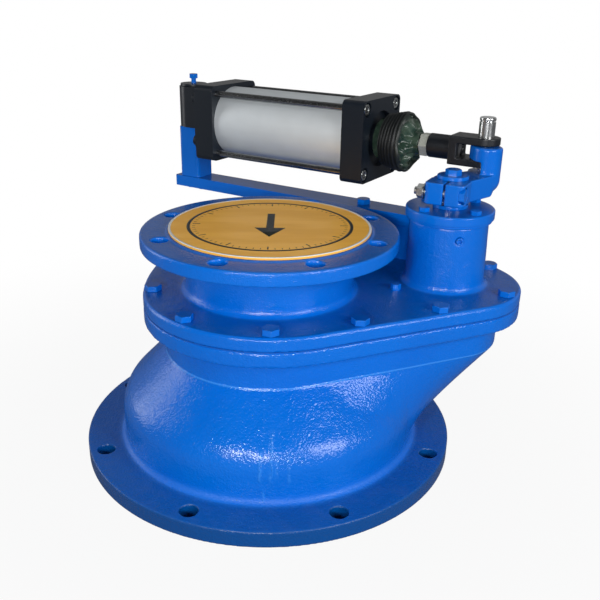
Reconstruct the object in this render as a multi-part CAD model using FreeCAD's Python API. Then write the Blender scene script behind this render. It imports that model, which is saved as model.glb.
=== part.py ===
import FreeCAD, Part
import math
import os

from FreeCAD import Placement, Rotation, Vector

# Rotary swing valve with an air cylinder.
# Millimetres, +Z up. The origin is the centre of the outlet flange's bottom face.
# Pipe flanges follow the common 10 bar drillings: 200 mm inlet, outlet bored to suit the body.

# Outlet flange, at the bottom
outlet_bolt_circle_r = 235.0
outlet_flange_rim = 21.0
outlet_flange_t = 22.0
outlet_hole_r = 12.0
outlet_hole_count = 8
outlet_bore_r = 190.0

# Inlet flange and neck, on the cover
inlet_bolt_circle_r = 147.5
inlet_flange_rim = 22.5
inlet_flange_t = 20.0
inlet_hole_r = 11.0
inlet_hole_count = 8
inlet_bore_r = 100.0
inlet_face_z = 310.0
raised_face_r = 135.0
raised_face_h = 2.0
neck_wall = 13.0
cast_fillet = 10.0

# Shaft place and swing: the disc turns about the shaft from the port to its parking lobe
shaft_x = 241.0
shaft_y = 30.0
swing_deg = 58.0

# Body casting
shaft_lobe_r = 106.0
rim_inset = 27.0
wall = 11.0
rim_t = 20.0
rim_top_z = 208.0
crease_z = 146.0
bulge_z = 62.0
bulge_r = 205.0
shoulder_r = 50.0
foot_r = 204.0
dome_tuck = 3.0
chute_foot_r = 198.0

# Gasket, cover and its bolts
gasket_t = 1.5
cover_t = 18.0
cover_edge = 3.0
cover_bolt_r = 6.0
cover_bolt_hex = 20.0
cover_bolt_head = 8.0
cover_bolt_inset = 14.0
cover_bolt_pitch = 114.0
cover_bolt_first = 51.0
cover_bolt_reach = 14.0
hole_clearance = 0.6

# Seat ring and swinging disc
seat_wall = 22.0
seat_depth = 8.0
seat_stand = 6.0
seat_screw_r = 3.0
seat_screw_count = 6
seat_screw_first = 30.0
seat_screw_reach = 8.0
disc_r = 126.0
disc_t = 18.0
disc_gap = 0.3
disc_face_t = 6.0
disc_rim_t = 9.0
disc_boss_r = 34.0
disc_boss_h = 12.0
stub_r = 12.0
running_clearance = 0.05
touch_gap = 0.3
spring_t = 6.0
spring_r = 28.0

# Swing arm
arm_hub_r = 38.0
arm_hub_h = 46.0
arm_t = 18.0
arm_tip_r = 36.0
arm_washer_r = 26.0
thrust_washer_t = 4.0

# Shaft, its tower and bearings
shaft_r = 17.5
bush_wall = 7.5
bush_length = 34.0
tower_r = 54.0
tower_top_z = 318.0
cap_r = 59.5
cap_t = 16.0
cap_lip = 4.0
cap_lip_inset = 2.5
cap_bolt_circle_r = 47.0
cap_bolt_r = 4.0
cap_bolt_hex = 13.0
cap_bolt_head = 5.5
cap_bolt_count = 4
cap_bolt_angle = -57.0
cap_bolt_reach = 12.0
packing_count = 3
packing_t = 8.0
key_w = 10.0
key_h = 8.0
key_length = 24.0

# Lever on top of the shaft
lever_bottom_z = 343.0
lever_hub_h = 29.0
lever_hub_r = 26.0
eye_r = 20.0
eye_t = 19.0
hook_reach = 13.0
hook_angle = -85.0
hook_fillet = 3.0
jaw_clearance = 1.5
clamp_slot_w = 3.0
clamp_ear_w = 54.0
clamp_ear_reach = 40.0
clamp_angle = -117.0
clamp_bolt_r = 5.0
clamp_bolt_hex = 17.0
clamp_bolt_head = 7.0
clamp_bolt_out = 31.0
end_washer_r = 21.0
end_washer_t = 5.0
end_bolt_r = 6.0
end_bolt_hex = 19.0
end_bolt_head = 7.5
end_bolt_reach = 26.0

# Air cylinder: rear pivot, fork pin and axis height
pivot_y = 356.0
fork_x = 292.0
fork_y = 81.0
rod_axis_z = 398.0

# Fork and rod, measured back from the fork pin
fork_w = 40.0
fork_gap = 20.0
fork_square_length = 46.0
fork_shank_r = 17.0
fork_shank_length = 34.0
fork_slot_depth = 34.0
fork_pin_r = 11.0
fork_pin_above = 27.0
fork_pin_below = 4.0
clip_t = 2.0
clip_r = 14.5
rod_r = 12.5
rod_thread_r = 10.0
lock_nut_hex = 30.0
lock_nut_t = 12.0
piston_t = 30.0
piston_back = 34.0

# Gaiter round the rod
gaiter_length = 66.0
gaiter_r = 43.0
gaiter_fold = 5.0
gaiter_fold_count = 6
gaiter_bore_r = 15.0

# Barrel
bore_r = 50.0
tube_wall = 4.0
cylinder_cap_w = 118.0
cylinder_cap_t = 35.0
cylinder_cap_corner = 9.0
barrel_length = 304.0
tie_rod_r = 5.0
tie_rod_offset = 46.5
tie_nut_hex = 15.0
tie_nut_t = 9.0
tie_pocket_r = 10.5
gland_r = 22.0
port_r = 9.3
port_depth = 16.0
seal_ring_t = 5.0
seal_ring_d = 4.0

# Rear eye, pivot pin and bracket; the eye's bore is wide because the pivot floats there
eye_reach = 49.2
eye_block_w = 48.0
eye_bottom_z = 381.0
eye_top_z = 447.0
rear_plate_t = 12.0
rear_plate_w = 92.0
rear_screw_r = 5.0
rear_screw_offset = 34.0
pivot_pin_r = 8.0
pivot_float = 6.6
pivot_pin_bottom_z = 330.0
pivot_washer_r = 22.0
pivot_washer_t = 4.0
pin_bolt_r = 4.0
pin_bolt_hex = 13.0
pin_bolt_head = 7.0
pin_bolt_neck = 8.0
pin_bolt_reach = 18.0
beam_w = 44.0
beam_t = 18.0
beam_top_z = 296.0
beam_overhang = 30.0
beam_length = 484.0
beam_lip = 8.0
post_w = 40.0
post_corner = 6.0
post_bolt_spacing = 24.0
post_bolt_r = 4.0
post_bolt_hex = 13.0
post_bolt_head = 5.5
post_bolt_reach = 18.0
pad_length = 140.0
beam_bolt_back = 24.0
beam_bolt_front = 18.0
beam_bolt_r = 6.0
beam_bolt_hex = 19.0
beam_bolt_head = 8.0
beam_bolt_reach = 18.0

# Transport cover board on the inlet, and small plugs
board_r = 133.0
board_t = 3.0
plug_x = 170.0
plug_y = -6.0
plug_r = 6.5
plug_hex = 12.0
plug_head = 8.0
tower_plug_r = 5.0
tower_plug_stand = 1.0
tower_plug_drop = 17.0

# Worked out from the sizes above; the port lobe is as wide as the inlet flange
UP = Vector(0, 0, 1)
outlet_flange_r = outlet_bolt_circle_r + outlet_flange_rim
inlet_flange_r = inlet_bolt_circle_r + inlet_flange_rim
lobe_r = inlet_flange_r
SHAFT = Vector(shaft_x, shaft_y, 0)
swing_r = SHAFT.Length
port_angle = math.atan2(-shaft_y, -shaft_x)
park_angle = port_angle - math.radians(swing_deg)
PARK = SHAFT + Vector(math.cos(park_angle), math.sin(park_angle), 0) * swing_r
cover_bottom_z = rim_top_z + gasket_t
cover_top_z = cover_bottom_z + cover_t
neck_r = inlet_bore_r + neck_wall
seat_r = inlet_bore_r + seat_wall
seat_bottom_z = cover_bottom_z - seat_stand
disc_top_z = seat_bottom_z - disc_gap
disc_bottom_z = disc_top_z - disc_t
boss_bottom_z = disc_bottom_z - disc_boss_h
arm_top_z = boss_bottom_z - spring_t - touch_gap
arm_bottom_z = arm_top_z - arm_t
bush_r = shaft_r + bush_wall
cap_top_z = tower_top_z + cap_t
lever_top_z = lever_bottom_z + lever_hub_h
shaft_top_z = lever_top_z - 1.0
shaft_bottom_z = arm_bottom_z + 1.0
arm_hub_top_z = cover_bottom_z - thrust_washer_t
lever_angle = math.degrees(math.atan2(fork_y - shaft_y, fork_x - shaft_x))
nut_back = -fork_square_length - fork_shank_length - lock_nut_t
gaiter_end = nut_back - 2 * touch_gap
front_face = gaiter_end - gaiter_length - touch_gap
front_inner = front_face - cylinder_cap_t
rear_face = front_face - barrel_length
rear_inner = rear_face + cylinder_cap_t
pin_distance = eye_reach - rear_face
pivot_x = fork_x - math.sqrt(pin_distance ** 2 - (pivot_y - fork_y) ** 2)
axis_angle = math.degrees(math.atan2(fork_y - pivot_y, fork_x - pivot_x))
beam_bottom_z = beam_top_z - beam_t
beam_end = beam_length - beam_overhang
pad_end = beam_end - beam_lip
pad_start = pad_end - pad_length
beam_bolt_places = (pad_start + beam_bolt_back, pad_end - beam_bolt_front)


def polar(radius, degrees, z=0.0):
    angle = math.radians(degrees)
    return Vector(radius * math.cos(angle), radius * math.sin(angle), z)


def cyl(radius, z0, z1, centre=Vector(0, 0, 0)):
    return Part.makeCylinder(radius, z1 - z0, Vector(centre.x, centre.y, z0))


def ring(outer, inner, z0, z1, centre=Vector(0, 0, 0)):
    return cyl(outer, z0, z1, centre).cut(cyl(inner, z0, z1, centre))


def box(x0, x1, y0, y1, z0, z1):
    return Part.makeBox(x1 - x0, y1 - y0, z1 - z0, Vector(x0, y0, z0))


def fuse(first, *others):
    return first.multiFuse(list(others)).removeSplitter() if others else first


def cut(shape, tools):
    return shape.cut(Part.makeCompound(tools))


def profile(start, steps, to_space):
    """Closed face from a start point; a step is a point, or a (middle, end) pair for an arc."""
    edges = []
    last = start
    for step in list(steps) + [start]:
        if isinstance(step[0], tuple):
            middle, end = step
            edges.append(Part.Arc(to_space(last), to_space(middle), to_space(end)).toShape())
        else:
            end = step
            edges.append(Part.makeLine(to_space(last), to_space(end)))
        last = end
    return Part.Face(Part.Wire(edges))


def turned(start, *steps, centre=Vector(0, 0, 0)):
    """Solid of revolution about +Z from (radius, z) points."""
    face = profile(start, steps, lambda p: Vector(p[0], 0, p[1]))
    solid = face.revolve(Vector(0, 0, 0), UP, 360)
    solid.translate(centre)
    return solid


def arc_mid(centre, radius, degrees):
    """Point of a circle in a profile plane, used as the middle of an arc."""
    angle = math.radians(degrees)
    return (centre[0] + radius * math.cos(angle), centre[1] + radius * math.sin(angle))


def hexagon(across, z0, z1, chamfer=True):
    """Hex prism on +Z with its top corners turned off."""
    corner_r = across / math.sqrt(3)
    points = [polar(corner_r, 60 * i + 30, z0) for i in range(7)]
    prism = Part.Face(Part.makePolygon(points)).extrude(UP * (z1 - z0))
    if not chamfer:
        return prism
    drop = (corner_r - across / 2) * 0.6
    cone = turned((0, z0), (corner_r, z0), (corner_r, z1 - drop), (across / 2 * 0.96, z1), (0, z1))
    return prism.common(cone)


def hex_bolt(shank_r, across, head_t, reach, chamfer=True):
    """Bolt on +Z with its underhead at z = 0, the shank below it."""
    return fuse(hexagon(across, 0, head_t, chamfer), cyl(shank_r, -reach, 0))


def placed(shape, base, degrees=0.0, axis=UP):
    copy = shape.copy()
    copy.Placement = Placement(base, Rotation(axis, degrees)).multiply(copy.Placement)
    return copy


def pointed(shape, base, direction):
    """Turns a piece that was made along +Z to another direction and moves it."""
    copy = shape.copy()
    copy.Placement = Placement(base, Rotation(UP, direction)).multiply(copy.Placement)
    return copy


def circle_of(shape, count, radius, z, first=0.0, centre=Vector(0, 0, 0)):
    return [placed(shape, centre + polar(radius, first + 360.0 * i / count, z))
            for i in range(count)]


def rounded_square(width, corner, x0, x1):
    """Square bar along +X with rounded long edges."""
    half = width / 2
    bar = box(x0, x1, -half, half, -half, half)
    edges = [e for e in bar.Edges if abs(e.tangentAt(e.FirstParameter).x) > 0.9]
    return bar.makeFillet(corner, edges)


# Body outline: two equal lobes and a smaller one round the shaft

def outline_edges(lobe, shaft_lobe, z):
    """Sector outline: port lobe, sweep about the shaft, parking lobe, shaft lobe."""
    lean = math.degrees(math.acos((lobe - shaft_lobe) / swing_r))
    front = math.degrees(math.atan2(shaft_y, shaft_x)) - lean
    back = math.degrees(math.atan2(shaft_y - PARK.y, shaft_x - PARK.x)) + lean
    port_out = math.degrees(port_angle)
    park_out = math.degrees(park_angle)
    lift = Vector(0, 0, z)
    origin = Vector(0, 0, 0)

    def arc(centre, radius, start, end):
        while end < start:
            end += 360.0
        places = (start, (start + end) / 2, end)
        points = [centre + polar(radius, a) + lift for a in places]
        return Part.Arc(*points).toShape()

    shaft_arc = arc(SHAFT, shaft_lobe, front, back)
    park_arc = arc(PARK, lobe, back, park_out)
    sweep_arc = arc(SHAFT, swing_r + lobe, park_out, port_out)
    port_arc = arc(origin, lobe, port_out, front)

    def line(one, other):
        return Part.makeLine(one.Vertexes[-1].Point, other.Vertexes[0].Point)

    return [shaft_arc, line(shaft_arc, park_arc), park_arc, sweep_arc, port_arc,
            line(port_arc, shaft_arc)]


def outline_wire(inset, z):
    return Part.Wire(outline_edges(lobe_r - inset, shaft_lobe_r - inset, z))


def outline_slab(inset, z0, z1):
    return Part.Face(outline_wire(inset, z0)).extrude(UP * (z1 - z0))


def bolt_places(inset, pitch, first):
    """Evenly spaced points along the outline, with the outward edge distance given."""
    wire = outline_wire(inset, 0)
    count = round(wire.Length / pitch)
    points = wire.discretize(Number=count * 40 + 1)
    start = round(first / wire.Length * count * 40)
    return [points[(start + 40 * i) % (count * 40)] for i in range(count)]


def dome(inset, foot, z_foot):
    """Round part of the body under the port: a low bulge, then a slope up to the wall."""
    widest = bulge_r - inset
    top = (lobe_r - rim_inset - inset - dome_tuck, crease_z - inset * 0.5 + dome_tuck)
    middle = (bulge_r - shoulder_r, bulge_z)
    across, up = top[0] - middle[0], top[1] - middle[1]
    bend_r = shoulder_r - inset
    turn = math.degrees(math.atan2(up, across) - math.acos(bend_r / math.hypot(across, up)))
    belly = (widest - 0.25 * (widest - foot), (z_foot + bulge_z) / 2)
    return turned((0, z_foot), (foot, z_foot), (belly, (widest, bulge_z)),
                  (arc_mid(middle, bend_r, turn / 2), arc_mid(middle, bend_r, turn)),
                  top, (0, top[1]))


def chute(inset, foot, z_foot):
    """Sloping part of the body: the sector outline drawn down to the round foot."""
    edges = outline_edges(lobe_r - rim_inset - inset, shaft_lobe_r - rim_inset - inset, crease_z)
    starts = [edge.Vertexes[0].Point for edge in edges]
    angles = [math.degrees(math.atan2(p.y, p.x)) for p in starts]
    round_edges = []
    for start, end in zip(angles, angles[1:] + angles[:1]):
        while end < start:
            end += 360.0
        points = [polar(foot, a, z_foot) for a in (start, (start + end) / 2, end)]
        round_edges.append(Part.Arc(*points).toShape())
    return Part.makeLoft([Part.Wire(round_edges), Part.Wire(edges)], True, True)


def fillet_ring(radius, z, size, up=1, inward=False):
    """Concave cast fillet where a round wall of this radius meets a flat face."""
    side = -1 if inward else 1
    corner = (radius + side * size, z + up * size)
    middle = (corner[0] - side * size * math.cos(math.pi / 4),
              corner[1] - up * size * math.sin(math.pi / 4))
    inner = radius - side * 1.0
    below = z - up * 1.0
    return turned((inner, below), (radius + side * size, below), (radius + side * size, z),
                  (middle, (radius, z + up * size)), (inner, z + up * size))


# Castings and covers

def valve_body():
    """Hollow casting: outlet flange, dome and chute, chamber wall and tapped rim."""
    z_foot = outlet_flange_t - 2
    body = dome(0, foot_r, z_foot)
    for piece in (chute(0, chute_foot_r, z_foot), outline_slab(rim_inset, crease_z, rim_top_z - 1),
                  outline_slab(0, rim_top_z - rim_t, rim_top_z), cyl(outlet_flange_r, 0, outlet_flange_t),
                  fillet_ring(foot_r, outlet_flange_t, cast_fillet)):
        body = body.fuse(piece)
    hollow = dome(wall, outlet_bore_r, z_foot)
    for piece in (chute(wall, chute_foot_r - wall, z_foot),
                  outline_slab(rim_inset + wall, crease_z, rim_top_z + 1),
                  cyl(outlet_bore_r, -1, z_foot)):
        hollow = hollow.fuse(piece)
    tools = [hollow]
    hole = cyl(outlet_hole_r, -1, outlet_flange_t + 1)
    tools += circle_of(hole, outlet_hole_count, outlet_bolt_circle_r, 0, 180.0 / outlet_hole_count)
    tap = cyl(cover_bolt_r, rim_top_z - cover_bolt_reach, rim_top_z + 1)
    tools += [placed(tap, p) for p in cover_bolt_points()]
    for tool in tools:
        body = body.cut(tool)
    return body


def cover_bolt_points():
    return bolt_places(cover_bolt_inset, cover_bolt_pitch, cover_bolt_first)


def inlet_neck():
    flange_bottom = inlet_face_z - inlet_flange_t
    shoulder = inlet_face_z - raised_face_h
    f = cast_fillet
    low = arc_mid((neck_r + f, cover_top_z + f), f, 225)
    high = arc_mid((neck_r + f, flange_bottom - f), f, 135)
    solid = turned((0, cover_bottom_z), (0, inlet_face_z), (raised_face_r, inlet_face_z),
                   (raised_face_r, shoulder), (inlet_flange_r - 1.5, shoulder),
                   (inlet_flange_r, shoulder - 1.5), (inlet_flange_r, flange_bottom),
                   (neck_r + f, flange_bottom), (high, (neck_r, flange_bottom - f)),
                   (neck_r, cover_top_z + f), (low, (neck_r + f, cover_top_z)),
                   (neck_r + f, cover_bottom_z))
    hole = cyl(inlet_hole_r, flange_bottom - 1, inlet_face_z + 1)
    holes = circle_of(hole, inlet_hole_count, inlet_bolt_circle_r, 0, 180.0 / inlet_hole_count)
    return cut(solid, holes)


def tower():
    f = cast_fillet
    low = arc_mid((tower_r + f, cover_top_z + f), f, 225)
    return turned((0, cover_bottom_z), (0, tower_top_z), (tower_r - 1, tower_top_z),
                  (tower_r + 0.5, cover_top_z + f), (low, (tower_r + f + 0.5, cover_top_z)),
                  (tower_r + f + 0.5, cover_bottom_z), centre=SHAFT)


def along_axis(distance, side=0.0, z=0.0):
    """Point given by its distance from the rear pivot towards the fork pin."""
    forward = polar(1, axis_angle)
    left = polar(1, axis_angle + 90)
    return Vector(pivot_x, pivot_y, z) + forward * distance + left * side


def on_axis(shape, distance=0.0):
    """Places a shape made along +X at the rear pivot's side of the bracket."""
    return placed(shape, along_axis(distance), axis_angle)


def bracket_pad():
    half = beam_w / 2
    pad = box(pad_start, pad_end, -half, half, cover_bottom_z + 2, beam_bottom_z)
    upright = [e for e in pad.Edges if abs(e.tangentAt(e.FirstParameter).z) > 0.9]
    return on_axis(pad.makeFillet(post_corner, upright))


def valve_cover():
    """Cover casting: plate, inlet neck and flange, bearing tower and bracket pad."""
    plate = outline_slab(0, cover_bottom_z, cover_top_z)
    rim_edges = [e for e in plate.Edges if min(v.Z for v in e.Vertexes) > cover_top_z - 0.1]
    plate = plate.makeChamfer(cover_edge, rim_edges)
    body = plate.multiFuse([inlet_neck(), tower(), bracket_pad()])
    tools = [cyl(inlet_bore_r, cover_bottom_z - 1, inlet_face_z + 1),
             cyl(seat_r, cover_bottom_z - 1, cover_bottom_z + seat_depth),
             cyl(bush_r, cover_bottom_z - 1, tower_top_z + 1, SHAFT)]
    clear = cyl(cover_bolt_r + hole_clearance, cover_bottom_z - 1, cover_top_z + 1)
    tools += [placed(clear, p) for p in cover_bolt_points()]
    beam_tap = cyl(beam_bolt_r, beam_bottom_z - beam_bolt_reach, beam_bottom_z + 1)
    tools += [placed(beam_tap, along_axis(s)) for s in beam_bolt_places]
    cap_tap = cyl(cap_bolt_r, tower_top_z - cap_bolt_reach, tower_top_z + 1)
    tools += circle_of(cap_tap, cap_bolt_count, cap_bolt_circle_r, 0, cap_bolt_angle, SHAFT)
    tools.append(cyl(plug_r, cover_top_z - plug_head, cover_top_z + 1, Vector(plug_x, plug_y, 0)))
    tools.append(tower_plug_hole())
    seat_top_z = cover_bottom_z + seat_depth
    tools += seat_screw_ring(cyl(seat_screw_r, seat_top_z - 1, seat_top_z + seat_screw_reach))
    for tool in tools:
        body = body.cut(tool)
    return body


def cover_gasket():
    inner = rim_inset + wall
    sheet = outline_slab(0.5, rim_top_z, cover_bottom_z)
    sheet = sheet.cut(outline_slab(inner, rim_top_z - 1, cover_bottom_z + 1))
    hole = cyl(cover_bolt_r + hole_clearance, rim_top_z - 1, cover_bottom_z + 1)
    return cut(sheet, [placed(hole, p) for p in cover_bolt_points()])


def cover_bolts():
    reach = cover_t + gasket_t + cover_bolt_reach - 1
    bolt = hex_bolt(cover_bolt_r, cover_bolt_hex, cover_bolt_head, reach)
    return Part.makeCompound([placed(bolt, p + UP * cover_top_z, 17.0 * i)
                              for i, p in enumerate(cover_bolt_points())])


def seat_screw_ring(shape):
    return circle_of(shape, seat_screw_count, inlet_bore_r + seat_wall / 2, 0, seat_screw_first)


def seat_ring():
    top = cover_bottom_z + seat_depth
    solid = turned((inlet_bore_r, seat_bottom_z + 2), (inlet_bore_r, top), (seat_r, top),
                   (seat_r, seat_bottom_z + 1), (seat_r - 1, seat_bottom_z),
                   (inlet_bore_r + 2, seat_bottom_z))
    head = turned((0, seat_bottom_z - 1), (seat_screw_r * 2, seat_bottom_z - 1),
                  (seat_screw_r * 2, seat_bottom_z + 1), (seat_screw_r, seat_bottom_z + 4),
                  (seat_screw_r, top + 1), (0, top + 1))
    return cut(solid, seat_screw_ring(head))


def seat_screws():
    top = cover_bottom_z + seat_depth + seat_screw_reach - 1
    screw = turned((0, seat_bottom_z + 0.6), (seat_screw_r * 2, seat_bottom_z + 0.6),
                   (seat_screw_r * 2, seat_bottom_z + 1), (seat_screw_r, seat_bottom_z + 4),
                   (seat_screw_r, top), (0, top))
    slot = box(-seat_screw_r * 2, seat_screw_r * 2, -0.8, 0.8, seat_bottom_z, seat_bottom_z + 2.2)
    return Part.makeCompound(seat_screw_ring(screw.cut(slot)))


def cover_plug():
    head = hexagon(plug_hex, 0, plug_head)
    stem = cyl(plug_r, 1 - plug_head, 0)
    return placed(fuse(head, stem), Vector(plug_x, plug_y, cover_top_z), 20)


def tower_plug_axis():
    """Centre line of the lubricator plug, looking out of the tower's front."""
    direction = Vector(0.1, -1, 0).normalize()
    base = SHAFT + UP * (tower_top_z - tower_plug_drop)
    return base, direction


def tower_plug_hole():
    base, direction = tower_plug_axis()
    hole = cyl(tower_plug_r, 0, tower_r * 0.3)
    return pointed(hole, base + direction * (tower_r * 0.8), direction)


def tower_plug():
    base, direction = tower_plug_axis()
    length = tower_r * 0.2 + tower_plug_stand
    plug = turned((0, 0), (tower_plug_r, 0), (tower_plug_r, length - 0.8),
                  (tower_plug_r - 0.8, length), (0, length))
    socket = hexagon(tower_plug_r, length - 3, length + 1, False)
    return pointed(plug.cut(socket), base + direction * (tower_r * 0.8), direction)


# Shaft bearings

def bearing_cap():
    z0 = tower_top_z
    z1 = cap_top_z
    solid = turned((shaft_r + 0.3, z0), (cap_r - cap_lip_inset, z0), (cap_r - cap_lip_inset, z0 + cap_lip),
                   (cap_r, z0 + cap_lip), (cap_r, z1 - 1.5), (cap_r - 1.5, z1),
                   (shaft_r + 0.3, z1), centre=SHAFT)
    hole = cyl(cap_bolt_r + hole_clearance, z0 - 1, z1 + 1)
    return cut(solid, circle_of(hole, cap_bolt_count, cap_bolt_circle_r, 0, cap_bolt_angle, SHAFT))


def cap_bolts():
    bolt = hex_bolt(cap_bolt_r, cap_bolt_hex, cap_bolt_head, cap_bolt_reach + cap_t - 1)
    return Part.makeCompound(circle_of(bolt, cap_bolt_count, cap_bolt_circle_r, cap_top_z,
                                       cap_bolt_angle, SHAFT))


def shaft_bush(z0):
    return ring(bush_r, shaft_r + running_clearance, z0, z0 + bush_length, SHAFT)


def lower_bush():
    return shaft_bush(cover_bottom_z)


def upper_bush():
    return shaft_bush(tower_top_z - bush_length)


def lantern_z():
    return cover_bottom_z + bush_length


def shaft_packing():
    z0 = lantern_z()
    rings = [ring(bush_r, shaft_r + touch_gap, z0 + i * packing_t, z0 + (i + 1) * packing_t - 0.4, SHAFT)
             for i in range(packing_count)]
    return Part.makeCompound(rings)


def lantern_ring():
    z0 = lantern_z() + packing_count * packing_t
    z1 = tower_top_z - bush_length
    spool = turned((shaft_r + touch_gap, z0), (bush_r, z0), (bush_r, z0 + 3), (bush_r - 3, z0 + 3),
                   (bush_r - 3, z1 - 3), (bush_r, z1 - 3), (bush_r, z1), (shaft_r + touch_gap, z1),
                   centre=SHAFT)
    return spool


def thrust_washer():
    inner = shaft_r + touch_gap
    return ring(arm_hub_r - 4, inner, arm_hub_top_z + touch_gap, cover_bottom_z, SHAFT)


def shaft_seal():
    return ring(shaft_r + 6, shaft_r + touch_gap, cap_top_z, cap_top_z + 5, SHAFT)


# Rotor: shaft, arm, disc and lever

def shaft_key(z0, towards):
    """Parallel key half sunk in the shaft, on the side given in degrees."""
    seat = shaft_r - key_h / 2
    key = box(seat, seat + key_h, -key_w / 2, key_w / 2, z0, z0 + key_length)
    return placed(key, SHAFT, towards)


def arm_angle():
    return math.degrees(port_angle)


def arm_key():
    return shaft_key(arm_bottom_z + 8, arm_angle() + 180)


def lever_key():
    return shaft_key(lever_bottom_z + 2, lever_angle + 90)


def valve_shaft():
    solid = turned((0, shaft_bottom_z), (shaft_r - 1.5, shaft_bottom_z),
                   (shaft_r, shaft_bottom_z + 1.5), (shaft_r, shaft_top_z - 1.5),
                   (shaft_r - 1.5, shaft_top_z), (0, shaft_top_z), centre=SHAFT)
    taps = [cyl(end_bolt_r, shaft_top_z - end_bolt_reach, shaft_top_z + 1, SHAFT),
            cyl(end_bolt_r, shaft_bottom_z - 1, shaft_bottom_z + end_bolt_reach, SHAFT)]
    return cut(solid, [arm_key(), lever_key()] + taps)


def pair_hull(r0, r1, distance, z0, z1):
    """Plate round two circles, the first at the origin and the other along +X."""
    lean = math.degrees(math.acos((r0 - r1) / distance))
    tip = Vector(distance, 0, 0)
    lift = Vector(0, 0, z0)
    near = [polar(r0, a) + lift for a in (lean, 180, -lean)]
    far = [tip + polar(r1, a) + lift for a in (-lean, 0, lean)]
    edges = [Part.Arc(*near).toShape(), Part.makeLine(near[2], far[0]),
             Part.Arc(*far).toShape(), Part.makeLine(far[2], near[0])]
    return Part.Face(Part.Wire(edges)).extrude(UP * (z1 - z0))


def swing_arm():
    """Arm from the shaft to the disc, with a stiffening rib under it."""
    plate = pair_hull(arm_hub_r, arm_tip_r, swing_r, arm_bottom_z, arm_top_z)
    waist = 0.45 * swing_r
    for side in (-1, 1):
        plate = plate.cut(cyl(waist, arm_bottom_z - 1, arm_top_z + 1,
                              Vector(swing_r / 2, side * (waist + 24), 0)))
    rib = box(arm_hub_r - 6, swing_r - arm_tip_r + 4, -6, 6, arm_bottom_z - 12, arm_bottom_z + 1)
    rib_end = [e for e in rib.Edges if abs(e.tangentAt(e.FirstParameter).y) > 0.9
               and e.CenterOfMass.z < arm_bottom_z - 11]
    rib = rib.makeChamfer(11, rib_end)
    hub = cyl(arm_hub_r, arm_hub_top_z - arm_hub_h, arm_hub_top_z)
    arm = placed(plate.multiFuse([rib, hub]), SHAFT, arm_angle())
    tools = [cyl(shaft_r, shaft_bottom_z - 5, cover_bottom_z, SHAFT), arm_key(),
             cyl(stub_r * 0.75, arm_bottom_z - 1, arm_top_z + 1)]
    for tool in tools:
        arm = arm.cut(tool)
    return arm


def arm_washer():
    z1 = arm_bottom_z
    return ring(arm_washer_r, end_bolt_r, z1 - end_washer_t, z1, SHAFT)


def arm_bolt():
    """Bolt up into the shaft that holds the arm hub on."""
    bolt = hex_bolt(end_bolt_r, end_bolt_hex, end_bolt_head, end_bolt_reach + end_washer_t - 1)
    return pointed(bolt, SHAFT + UP * (arm_bottom_z - end_washer_t), Vector(0, 0, -1))


def disc_stub():
    """Pin that the disc turns on, shouldered on the arm and nutted below."""
    top = disc_bottom_z + 2
    pin = cyl(stub_r, arm_top_z, top).fuse(cyl(stub_r * 0.75, arm_bottom_z - 1, arm_top_z))
    nut = hexagon(stub_r * 2.6, 0, 11)
    nut = pointed(nut, Vector(0, 0, arm_bottom_z), Vector(0, 0, -1))
    return fuse(pin, nut)


def spring_washers():
    """Two cupped spring washers that press the disc to its seat."""
    half = spring_t / 2
    inner = stub_r + touch_gap
    z0 = arm_top_z
    lower = turned((inner, z0 + half - 1.6), (inner, z0 + half), (spring_r, z0 + 1.6), (spring_r, z0))
    upper = turned((inner, z0 + half), (spring_r, z0 + spring_t - 1.6), (spring_r, z0 + spring_t),
                   (inner, z0 + half + 1.6))
    return Part.makeCompound([lower, upper])


def valve_disc():
    """Dished disc with a hub; its hub bore runs on the stub."""
    edge_z = disc_top_z - disc_rim_t
    seat = disc_top_z - disc_face_t
    f = 8.0
    hollow = arc_mid((disc_boss_r + f, disc_bottom_z - f), f, 135)
    solid = turned((0, boss_bottom_z), (0, seat), (disc_r - 10, seat), (disc_r - 10, disc_top_z - 0.5),
                   (disc_r - 1, disc_top_z - 0.5), (disc_r, disc_top_z - 1.5), (disc_r, edge_z),
                   (disc_r - 12, disc_bottom_z), (disc_boss_r + f, disc_bottom_z),
                   (hollow, (disc_boss_r, disc_bottom_z - f)), (disc_boss_r, boss_bottom_z))
    bore = cyl(stub_r + running_clearance, boss_bottom_z - 1, disc_bottom_z + 4)
    return solid.cut(bore)


def disc_face():
    r = disc_r - 10
    return turned((0, disc_top_z - disc_face_t), (0, disc_top_z), (r - 0.6, disc_top_z),
                  (r, disc_top_z - 0.6), (r, disc_top_z - disc_face_t))


def clamp_tools():
    """Slot and bolt hole of the lever's split clamp, on +X before it is turned."""
    slot = box(0, clamp_ear_reach + 1, -clamp_slot_w / 2, clamp_slot_w / 2,
               lever_bottom_z - 1, lever_top_z + 1)
    middle = Vector(clamp_bolt_out, 0, (lever_bottom_z + lever_top_z) / 2)
    hole = pointed(cyl(clamp_bolt_r + hole_clearance / 2, -60, 60), middle, Vector(0, 1, 0))
    pocket = pointed(cyl(clamp_bolt_hex * 0.65, clamp_ear_w / 2 - 7, 60), middle, Vector(0, 1, 0))
    return [slot, hole, pocket]


def fork_path():
    """Space that the fork's lower jaw sweeps, as the lever turns under it."""
    z0 = lever_top_z
    z1 = rod_axis_z - eye_t / 2
    half = fork_w / 2 + jaw_clearance
    reach = 3 * fork_w
    back = axis_angle + 180.0
    swung = back + swing_deg
    pin = Vector(fork_x, fork_y, 0)
    strip = box(0, reach, -half, half, z0, z1)
    lift = Vector(0, 0, z0)
    corners = [pin + lift, pin + polar(reach, back) + lift, pin + polar(reach, swung) + lift]
    wedge = Part.Face(Part.makePolygon(corners + corners[:1])).extrude(UP * (z1 - z0))
    return [cyl(half, z0, z1, pin), placed(strip, pin, back), placed(strip, pin, swung), wedge]


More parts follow.
